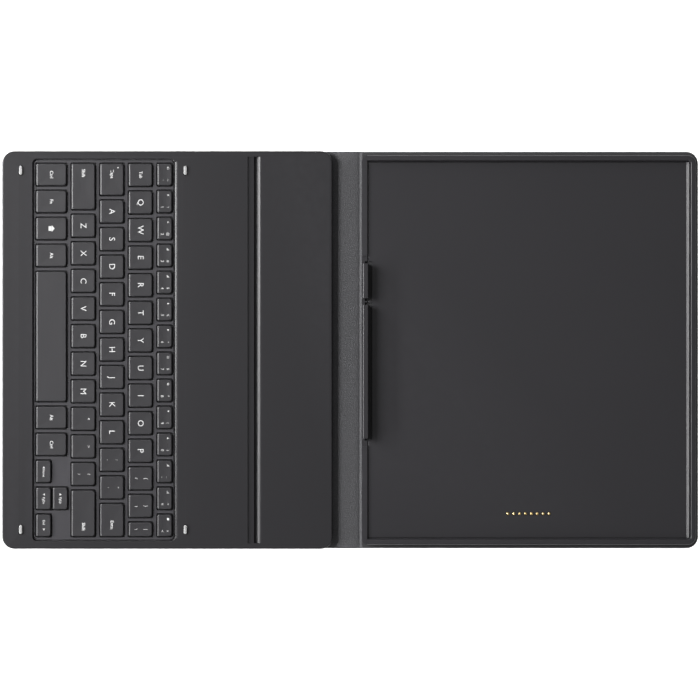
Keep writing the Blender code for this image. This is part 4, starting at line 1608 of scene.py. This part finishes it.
@dataclass
class Cover:
    """The soft cover: the outer skin in three sheets, the spine's lining and the back's lining."""

    skin: float = 0.7 * MM
    spine_skin: float = 0.5 * MM
    lining: float = 0.25 * MM
    hem: float = 5.8 * MM
    hem_layer: float = 0.53 * MM
    join_behind_fold: float = 2.8 * MM
    bend: float = 2.3 * MM
    bulge: float = 0.65 * MM
    crease: float = 0.14 * MM
    crease_width: float = 0.7 * MM
    stitch_inset: float = 2.2 * MM
    stitch_width: float = 0.25 * MM
    stitch_depth: float = 0.05 * MM
    seam_width: float = 0.3 * MM
    seam_depth: float = 0.16 * MM
    hem_step: float = 1.5 * MM
    lining_edge: float = 0.1 * MM
    lining_step: float = 0.3 * MM
    board_inset: float = 0.5 * MM
    row_step: float = 8.0 * MM
    fold_reach: float = 3.2 * MM
    fold_step: float = 0.4 * MM
    fold_clear: float = 0.3 * MM
    front_fold: Vector = field(default_factory=lambda: fold_line("spine_front_fold"))
    rear_fold: Vector = field(default_factory=lambda: fold_line("spine_rear_fold"))
    stand_fold: Vector = field(default_factory=lambda: fold_line("stand_fold"))
    deck: Box = field(default_factory=lambda: Box.of("deck_top_case"))
    spine: Box = field(default_factory=lambda: Box.of("spine_cover"))
    lower: Box = field(default_factory=lambda: Box.of("lower_back_skin"))
    upper: Box = field(default_factory=lambda: Box.of("upper_back_skin"))
    board: Box = field(default_factory=lambda: Box.of("lower_back_board"))

    @property
    def join(self) -> float:
        """Where the sheets across the front fold meet those across the rear fold."""
        return self.front_fold.y + self.join_behind_fold

    def outside(self, x: float, y: float) -> float:
        """The height of the skin's outer face, pressed in a little along each fold.

        Args:
            x: A place from left to right.
            y: A place from front to rear.

        Returns:
            The height there.
        """
        folds = (self.front_fold.y, self.rear_fold.y, self.stand_fold.y)
        across = abs(x) - (self.deck.high.x - self.stitch_inset)
        creases = sum(dip(y - place, self.crease_width, self.crease) for place in folds)
        return creases + dip(across, self.stitch_width, self.stitch_depth)

    def skin_top(self, x: float, y: float) -> float:
        """The height of the skin's inner face: thinner between the two folds of the spine.

        Args:
            x: A place from left to right.
            y: A place from front to rear.

        Returns:
            The height there.
        """
        inside = ramp(y, self.deck.high.y - 8.5 * MM, self.deck.high.y - 7.5 * MM)
        inside *= 1 - ramp(y, self.board.low.y - 1.0 * MM, self.board.low.y)
        stand = 0.2 * MM * dip(y - self.stand_fold.y, 1.0 * MM, 1.0)
        return self.skin - (self.skin - self.spine_skin) * inside - stand

    def lining_under(self, x: float, y: float) -> float:
        """The height of the spine lining's underside, lower in the hem at each end.

        Args:
            x: A place from left to right.
            y: A place from front to rear.

        Returns:
            The height there.
        """
        start = self.deck.high.x - self.hem
        hem = ramp(abs(x), start - self.hem_step, start)
        middle = self.spine.high.z - self.lining
        return middle - (middle - self.hem_layer) * hem

    def lining_over(self, x: float, y: float) -> float:
        """The height of the spine lining's face: bulged between the folds, with a stitched-down hem.

        Args:
            x: A place from left to right.
            y: A place from front to rear.

        Returns:
            The height there.
        """
        front, rear = self.front_fold.y, self.rear_fold.y
        share = (y - (front + rear) / 2) / ((rear - front) / 2)
        swell = self.bulge * max(0.0, 1 - share * share)
        seam = dip(abs(x) - (self.deck.high.x - self.hem), self.seam_width, self.seam_depth)
        rise = (self.board.high.z - self.spine.high.z) * ramp(y, rear, self.board.low.y - 0.2 * MM)
        creases = dip(y - (front + 0.4 * MM), 0.5 * MM, 0.1 * MM) + dip(y - rear, 0.5 * MM, 0.1 * MM)
        return self.spine.high.z + swell + rise - seam - creases

    def deck_edge(self, x: float) -> float:
        """The place of the lining's front edge: along the deck's rear wall and round its corners.

        Args:
            x: A place from left to right.

        Returns:
            The edge's place from front to rear.
        """
        radius = CASE_CORNERS[1]
        past = max(0.0, abs(x) - (self.deck.high.x - radius))
        return self.deck.high.y + FIT / 2 - (radius - math.sqrt(max(0.0, radius**2 - past**2)))

    def rows(self, start: float, stop: float, *folds: float) -> list[float]:
        """Places of cross-sections, close together round the folds.

        Args:
            start: The first place.
            stop: The last place.
            *folds: The folds that the sheet crosses.

        Returns:
            The places, front to rear.
        """
        found = set(spaced(start, stop, self.row_step))
        half_step = self.fold_step / 2
        for fold in folds:
            near = spaced(fold - self.fold_reach, fold + self.fold_reach, self.fold_step)
            low, high = near[0] - self.fold_clear, near[-1] + self.fold_clear
            found = {y for y in found if not low < y < high or y in (start, stop)}
            found |= {y for y in near if start + half_step < y < stop - half_step}
        return sorted(found)

    def lay(self, sheet: SoftSheet, finish: Finish, fold: Vector, bodies: Bodies, *nodes: str) -> None:
        """Builds a sheet that crosses a fold, and finishes it.

        Args:
            sheet: The sheet.
            finish: Its finish.
            fold: The fold that it crosses.
            bodies: The bodies in front of the fold and behind it.
            *nodes: The nodes that it stands for.
        """
        self.bend_over(sheet.build(), finish, fold, bodies, *nodes)

    def bend_over(
        self, obj: bpy.types.Object, finish: Finish, fold: Vector, bodies: Bodies, *nodes: str
    ) -> None:
        """Shades and finishes a sheet's object that crosses a fold, and hides the nodes that it stands for.

        Args:
            obj: The sheet's object.
            finish: Its finish.
            fold: The fold that it crosses; not used.
            bodies: The bodies in front of the fold and behind it.
            *nodes: The nodes that it stands for.
        """
        polish(obj, math.radians(50))
        coat(obj, finish)
        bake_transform(obj)
        if nodes:
            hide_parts(*nodes)
        LOG.info("%s bends between %s and %s", obj.name, *bodies)

    def build(self) -> None:
        """Builds every sheet of the cover."""
        half = self.deck.high.x
        first, last = self.deck.low.y, self.upper.high.y
        middle = (self.rear_fold.y + self.stand_fold.y) / 2
        front, rear, stand = self.front_fold, self.rear_fold, self.stand_fold
        deck_spine, spine_back = ("keyboard_deck", "spine"), ("spine", "lower_back")
        back_tray = ("lower_back", "tray")
        skin = partial(SoftSheet, half_width=half, under=self.outside, over=self.skin_top)
        rows = self.rows(first, self.join, front.y)
        sheet = skin("cover_front", rows=rows, round_front=CASE_CORNERS[0])
        self.lay(sheet, Finish.COVER, front, deck_spine, "front_cover_skin", "spine_cover")
        sheet = skin("cover_middle", rows=self.rows(self.join, middle, rear.y))
        self.lay(sheet, Finish.COVER, rear, spine_back, "lower_back_skin")
        sheet = skin("cover_back", rows=self.rows(middle, last, stand.y), round_rear=CASE_CORNERS[1])
        self.lay(sheet, Finish.COVER, stand, back_tray, "upper_back_skin")
        lining = partial(
            SoftSheet,
            half_width=half,
            under=self.lining_under,
            over=self.lining_over,
            seam=half - self.hem,
            edge=self.lining_edge,
        )
        rows = spaced(self.deck.high.y, self.join, self.lining_step)
        sheet = lining("spine_lining_front", rows=rows, front_line=self.deck_edge)
        self.lay(sheet, Finish.SPINE, front, deck_spine)
        rows = spaced(self.join, self.board.low.y - self.lining_edge, self.fold_step)
        self.lay(lining("spine_lining_rear", rows=rows), Finish.SPINE, rear, spine_back)
        self.back_lining(last - self.board_inset, stand, back_tray)

    def back_lining(self, last: float, stand: Vector, bodies: Bodies) -> None:
        """Builds the lined board behind the tray, with windows for what is set into it.

        Args:
            last: The place of its rear edge.
            stand: The fold that it crosses.
            bodies: The bodies in front of the fold and behind it.
        """
        low_z, high_z = self.board.low.z, self.board.high.z

        def over(x: float, y: float) -> float:
            """The lining's face, pressed in at the fold and rolled off at its edge."""
            roll = ramp(abs(x), self.board.high.x - 0.5 * MM, self.board.high.x) * 0.1 * MM
            return high_z - dip(y - stand.y, 0.8 * MM, 0.15 * MM) - roll

        sheet = SoftSheet(
            "back_lining",
            self.board.high.x,
            self.rows(self.board.low.y, last, stand.y),
            under=lambda x, y: low_z,
            over=over,
            round_rear=CASE_CORNERS[1] - self.board_inset,
            edge=0.15 * MM,
        )
        obj = sheet.build()
        levels = [(0.0, low_z - THROUGH), (0.0, high_z + THROUGH)]
        for node in ("contact_housing", "closure_plate"):
            combine(obj, slab(*Box.of(node).outline(FIT), (0.2 * MM, 0.2 * MM), levels))
        self.bend_over(obj, Finish.LINING, stand, bodies, "lower_back_board", "upper_back_board")


# ---------------------------------------------------------------- the tray


@dataclass
class TabletTray:
    """The moulded tray with its rim, snap clips and the contact pins in its floor."""

    corners: Point2 = (3.0 * MM, 5.0 * MM)
    rim_width: float = 3.2 * MM
    rim_height: float = 3.0 * MM
    front_rim_height: float = 0.8 * MM
    floor: float = 1.2 * MM
    foot_round: float = 0.15 * MM
    outer_round: float = 0.9 * MM
    inner_round: float = 0.5 * MM
    gutter_width: float = 0.9 * MM
    gutter_depth: float = 0.6 * MM
    ledge_width: float = 1.3 * MM
    ledge_height: float = 1.4 * MM
    ledge_crest: float = 0.3 * MM
    ledge_gap: float = 0.6 * MM
    clips: tuple[Point2, ...] = ((-51.6 * MM, -30.8 * MM), (-27.0 * MM, 52.8 * MM))
    notch: float = 4.8 * MM
    clip_wall: float = 2.6 * MM
    clip_hook: float = 0.8 * MM
    hook_slope: float = 0.3 * MM
    hook_height: float = 1.0 * MM
    clip_gap: float = 0.05 * MM
    slot: float = 3.0 * MM
    relief: float = 1.5 * MM
    cut_round: float = 0.4 * MM
    pocket_skin: float = 0.5 * MM
    pins: int = 8
    pin_pitch: float = 3.52 * MM
    pin_radius: float = 0.8 * MM
    hole_gap: float = 0.25 * MM
    hole_lip: float = 0.12 * MM
    carrier: float = 0.4 * MM
    box: Box = field(default_factory=lambda: Box.of("tablet_tray"))

    @property
    def seat(self) -> float:
        """The height of the tray's floor."""
        return self.box.low.z + self.floor

    @property
    def seat_front(self) -> float:
        """The place of the floor's front edge."""
        return self.box.low.y + self.rim_width

    def build(self) -> None:
        """Builds the tray and the pins."""
        tray = self.dish()
        self.cut_gap(tray)
        self.cut_contacts(tray)
        for x_low, x_high in self.clips:
            combine(tray, self.clip(x_low, x_high), "UNION")
        polish(tray)
        dress(tray, Finish.TRAY, "tray", "tablet_tray")
        self.contact_pins()

    def dish(self) -> bpy.types.Object:
        """Builds the floor with its rounded rim.

        Returns:
            The tray's object.
        """
        rim = self.seat + self.rim_height
        gutter = self.seat - self.gutter_depth
        floor = self.rim_width + self.gutter_width
        corners = [
            (0.4 * MM, self.box.low.z),
            (0.0, self.box.low.z),
            (0.0, rim),
            (self.rim_width, rim),
            (self.rim_width, gutter),
            (floor, gutter),
            (floor, self.seat),
            (floor + 2.0 * MM, self.seat),
        ]
        radii = (self.foot_round, self.outer_round, self.inner_round, 0.2 * MM, 0.1 * MM, 0.1 * MM)
        section = rounded_path(corners, radii, 6)[:-1]
        section.append((floor + 0.4 * MM, self.seat))
        tray = as_object("tray_shell", slab(*self.box.outline(), self.corners, section))
        combine(tray, self.rear_ledge(), "UNION")
        return tray

    def rear_ledge(self) -> bmesh.types.BMesh:
        """Builds the sloped strip along the floor's rear edge, a little in front of the rim.

        Returns:
            The strip as a closed solid.
        """
        rear = self.box.high.y - self.rim_width - self.ledge_gap
        front = rear - self.ledge_width - self.ledge_crest
        root = self.seat - self.floor / 2
        top = self.seat + self.ledge_height
        corners = [
            ((front + rear) / 2, root),
            (front, root),
            (front, self.seat),
            (rear - self.ledge_crest, top),
            (rear, top),
            (rear, root),
            ((front + rear) / 2 + MM / 10, root),
        ]
        radii = (0.0, 0.0, 0.5 * MM, 0.2 * MM, 0.0)
        half = self.box.high.x - self.rim_width - self.gutter_width
        return bar(rounded_path(corners, radii, 5), -half, half)

    def cut_gap(self, tray: bpy.types.Object) -> None:
        """Cuts the rim away round the clips, and the slots that let them flex.

        Args:
            tray: The tray's object.
        """
        rounds = (self.cut_round, self.cut_round)
        low = (self.clips[0][0] - self.notch, self.box.low.y - THROUGH)
        high = (self.clips[-1][1] + self.notch, self.seat_front + 0.45 * MM)
        levels = [(0.0, self.seat), (0.0, self.seat + THROUGH)]
        combine(tray, slab(low, high, rounds, levels))
        wide = self.box.high.x + THROUGH
        levels = [(0.0, self.seat + self.front_rim_height), (0.0, self.seat + THROUGH)]
        combine(tray, slab((-wide, low[1]), (wide, self.seat_front), rounds, levels))
        combine(tray, join([self.clip_slot(x_low, x_high) for x_low, x_high in self.clips]))

    def clip_slot(self, x_low: float, x_high: float) -> bmesh.types.BMesh:
        """Builds the cutter of the slot behind a clip, with a relief round each of its ends.

        Args:
            x_low: The clip's left end.
            x_high: Its right end.

        Returns:
            The cutter as a closed solid.
        """
        left, right = x_low - self.clip_gap, x_high + self.clip_gap
        front, rear = self.seat_front - self.relief, self.seat_front + self.slot
        plan = [
            (left - self.relief, front),
            (left, front),
            (left, self.seat_front),
            (right, self.seat_front),
            (right, front),
            (right + self.relief, front),
            (right + self.relief, rear),
            (left - self.relief, rear),
            (left - self.relief, front),
        ]
        wide, tight = self.cut_round, self.cut_round / 4
        plan = rounded_path(plan, (wide, tight, tight, tight, tight, wide, wide))[1:]
        heights = (self.box.low.z - THROUGH, self.seat + THROUGH)
        return lofted([[(x, y, z) for x, y in plan] for z in heights])

    def pin_places(self) -> list[Point2]:
        """The centre of each contact pin.

        Returns:
            The centres, front to rear.
        """
        middle = Box.of("contact_pins").middle
        first = (1 - self.pins) / 2
        return [(middle.x, middle.y + (first + n) * self.pin_pitch) for n in range(self.pins)]

    def cut_contacts(self, tray: bpy.types.Object) -> None:
        """Cuts the housing's pocket from below and a hole with a rounded lip for each pin.

        Args:
            tray: The tray's object.
        """
        levels = [(0.0, self.box.low.z - THROUGH), (0.0, self.seat - self.pocket_skin)]
        combine(tray, slab(*Box.of("contact_housing").outline(FIT), (0.3 * MM, 0.3 * MM), levels))
        radius, lip = self.pin_radius + self.hole_gap, self.hole_lip
        profile = [(radius, -THROUGH), (radius, -lip), (radius + 0.3 * lip, -0.3 * lip)]
        profile += [(radius + lip, 0.0), (radius + lip, THROUGH)]
        combine(tray, join([turned(profile, (x, y, self.seat)) for x, y in self.pin_places()]))

    def clip(self, x_low: float, x_high: float) -> bmesh.types.BMesh:
        """Builds one snap clip: a springy wall with a hook over the floor.

        Args:
            x_low: Its left end.
            x_high: Its right end.

        Returns:
            The clip as a closed solid that reaches down into the floor.
        """
        root = self.seat - self.floor / 2
        face = self.seat_front - self.clip_gap
        back = self.seat_front - self.clip_wall
        top = self.box.high.z
        catch = top - self.hook_height
        corners = [
            ((back + face) / 2, root),
            (face, root),
            (face, catch),
            (face + self.clip_hook, catch),
            (face + self.clip_hook - self.hook_slope, top),
            (back, top),
            (back, root),
            ((back + face) / 2 - MM / 10, root),
        ]
        radii = (0.0, 0.3 * MM, 0.25 * MM, 0.35 * MM, 0.6 * MM, 0.0)
        return bar(rounded_path(corners, radii, 4), x_low, x_high, 0.3 * MM)

    def contact_pins(self) -> None:
        """Builds the turned, plated pins and the strip that carries them."""
        whole = Box.of("contact_pins")
        strip_top = whole.low.z + self.carrier
        levels = [(0.1 * MM, whole.low.z), (0.0, whole.low.z + 0.1 * MM), (0.0, strip_top)]
        strip = as_object("pin_strip", slab(*whole.outline(), (0.5 * MM, 0.5 * MM), levels))
        polish(strip)
        dress(strip, Finish.HOUSING, "pin_carrier")
        base = strip_top + 0.02 * MM
        tall = whole.high.z - strip_top - 0.02 * MM
        r = self.pin_radius
        corners = [(r, 0.0), (r, 0.45 * tall), (0.86 * r, 0.5 * tall), (0.86 * r, 0.86 * tall)]
        corners += [(0.35 * r, tall), (0.05 * r, tall)]
        profile = rounded_path(corners, (HAIR, HAIR, 0.3 * MM, 0.3 * MM), 4)
        pins = as_object("plated_pins", join([turned(profile, (x, y, base)) for x, y in self.pin_places()]))
        polish(pins)
        dress(pins, Finish.GOLD, "pin_carrier", "contact_pins")


# ---------------------------------------------------------------- hidden pieces


INSIDES: dict[str, Finish] = {
    "deck_base_plate": Finish.STEEL,
    # Painted shade: the membrane gets the near-black copy of the film.
    "switch_membrane": Finish.SHADED_FILM,
    "controller_board": Finish.CIRCUIT,
    "stand_magnet": Finish.MAGNET,
    "closure_magnet": Finish.MAGNET,
    "closure_plate": Finish.STEEL,
    "ribbon_cable": Finish.FILM,
    "contact_housing": Finish.HOUSING,
}


def dress_insides() -> None:
    """Gives the pieces that the casings hide their finishes."""
    for node, finish in INSIDES.items():
        coat(frame["nodes"][node], finish)
        LOG.info("%s keeps its shape and is finished in %s", node, SLOTS[finish])


# ---------------------------------------------------------------- the studio


@dataclass(frozen=True)
class SoftLight:
    """An area light that faces the case."""

    name: str
    place: Point3
    size: Point2
    power: float

    def build(self) -> None:
        """Hangs the light in its place."""
        light = bpy.data.lights.new(self.name, "AREA")
        light.shape = "RECTANGLE"
        light.size, light.size_y = self.size
        light.energy = self.power
        obj = bpy.data.objects.new(self.name, light)
        obj.location = self.place
        obj.rotation_euler = (-Vector(self.place)).to_track_quat("-Z", "Y").to_euler()
        bpy.context.scene.collection.objects.link(obj)


@dataclass
class Studio:
    """A pale floor, soft lights and the camera straight above the case."""

    lens: float = 90.0
    sensor: float = 36.0
    view_width: float = 418.9 * MM
    aim: Point2 = (0.0, -0.4 * MM)
    floor_size: float = 14.0
    floor_drop: float = 0.26
    horizon: float = 1.15
    zenith: float = 0.22
    far_side: float = 0.4
    paper_glow: float = 0.65
    lights: tuple[SoftLight, ...] = (
        SoftLight("window_light", (-0.3, -1.05, 0.8), (0.6, 0.6), 27.0),
        SoftLight("strip_light", (-0.1, -1.3, 0.4), (1.8, 0.14), 26.0),
        SoftLight("top_light", (-0.2, 0.3, 1.8), (1.2, 1.2), 1.5),
    )

    def floor(self) -> None:
        """Lays the pale floor, lower than the tray hangs when a fold is bent down."""
        bm = bmesh.new()
        bmesh.ops.create_grid(bm, x_segments=8, y_segments=8, size=self.floor_size / 2)
        obj = as_object("studio_floor", bm)
        obj.location.z = -self.floor_drop
        material, tree, shader = start_material("studio_paper", Roughness=0.9, Specular_IOR_Level=0.1)
        toned = place_effect(
            tree, Effect.TONE_VARIATION, Color=(0.92, 0.92, 0.92), Scale=3.0, Amount=0.01
        )
        feed(tree, shader, Base_Color=toned.outputs["Color"], Emission_Color=toned.outputs["Color"])
        shader.inputs["Emission Strength"].default_value = self.paper_glow
        obj.data.materials.append(material)

    def camera(self) -> None:
        """Puts the camera above the case, with the case's left at the top of the picture."""
        data = bpy.data.cameras.new("camera")
        data.lens = self.lens
        data.sensor_width = self.sensor
        data.clip_start = 0.02
        obj = bpy.data.objects.new("camera", data)
        obj.location = (*self.aim, self.view_width * self.lens / self.sensor + 4.0 * MM)
        obj.rotation_euler = (0.0, 0.0, math.radians(90))
        bpy.context.scene.collection.objects.link(obj)
        bpy.context.scene.camera = obj

    def build(self) -> None:
        """Builds the studio."""
        scene = bpy.context.scene
        scene.view_settings.view_transform = "Standard"
        world = bpy.data.worlds.new("studio")
        world.use_nodes = True
        tree = NodeTree(world.node_tree)
        way = tree.node("SeparateXYZ", {0: tree.node("TexCoord").outputs["Generated"]})
        sky = tree.node("MapRange", {0: way.outputs["Z"], 1: 0.1, 2: 0.8, 3: self.horizon, 4: self.zenith})
        side = tree.node("MapRange", {0: way.outputs["Y"], 1: -0.7, 2: 0.7, 3: 1.0, 4: self.far_side})
        glow = tree.maths("MULTIPLY", sky.outputs[0], side.outputs[0])
        backdrop = world.node_tree.nodes["Background"]
        backdrop.inputs["Color"].default_value = (1.0, 1.0, 1.0, 1.0)
        world.node_tree.links.new(glow, backdrop.inputs["Strength"])
        scene.world = world
        for light in self.lights:
            light.build()
        self.floor()
        self.camera()


def main() -> None:
    """Builds the case round its frame, piece by piece."""
    logging.basicConfig(level=logging.INFO, format="%(message)s")
    Studio().build()
    Cover().build()
    KeyboardDeck().build()
    Keys().build()
    TabletTray().build()
    dress_insides()


if __name__ == "__main__":
    main()
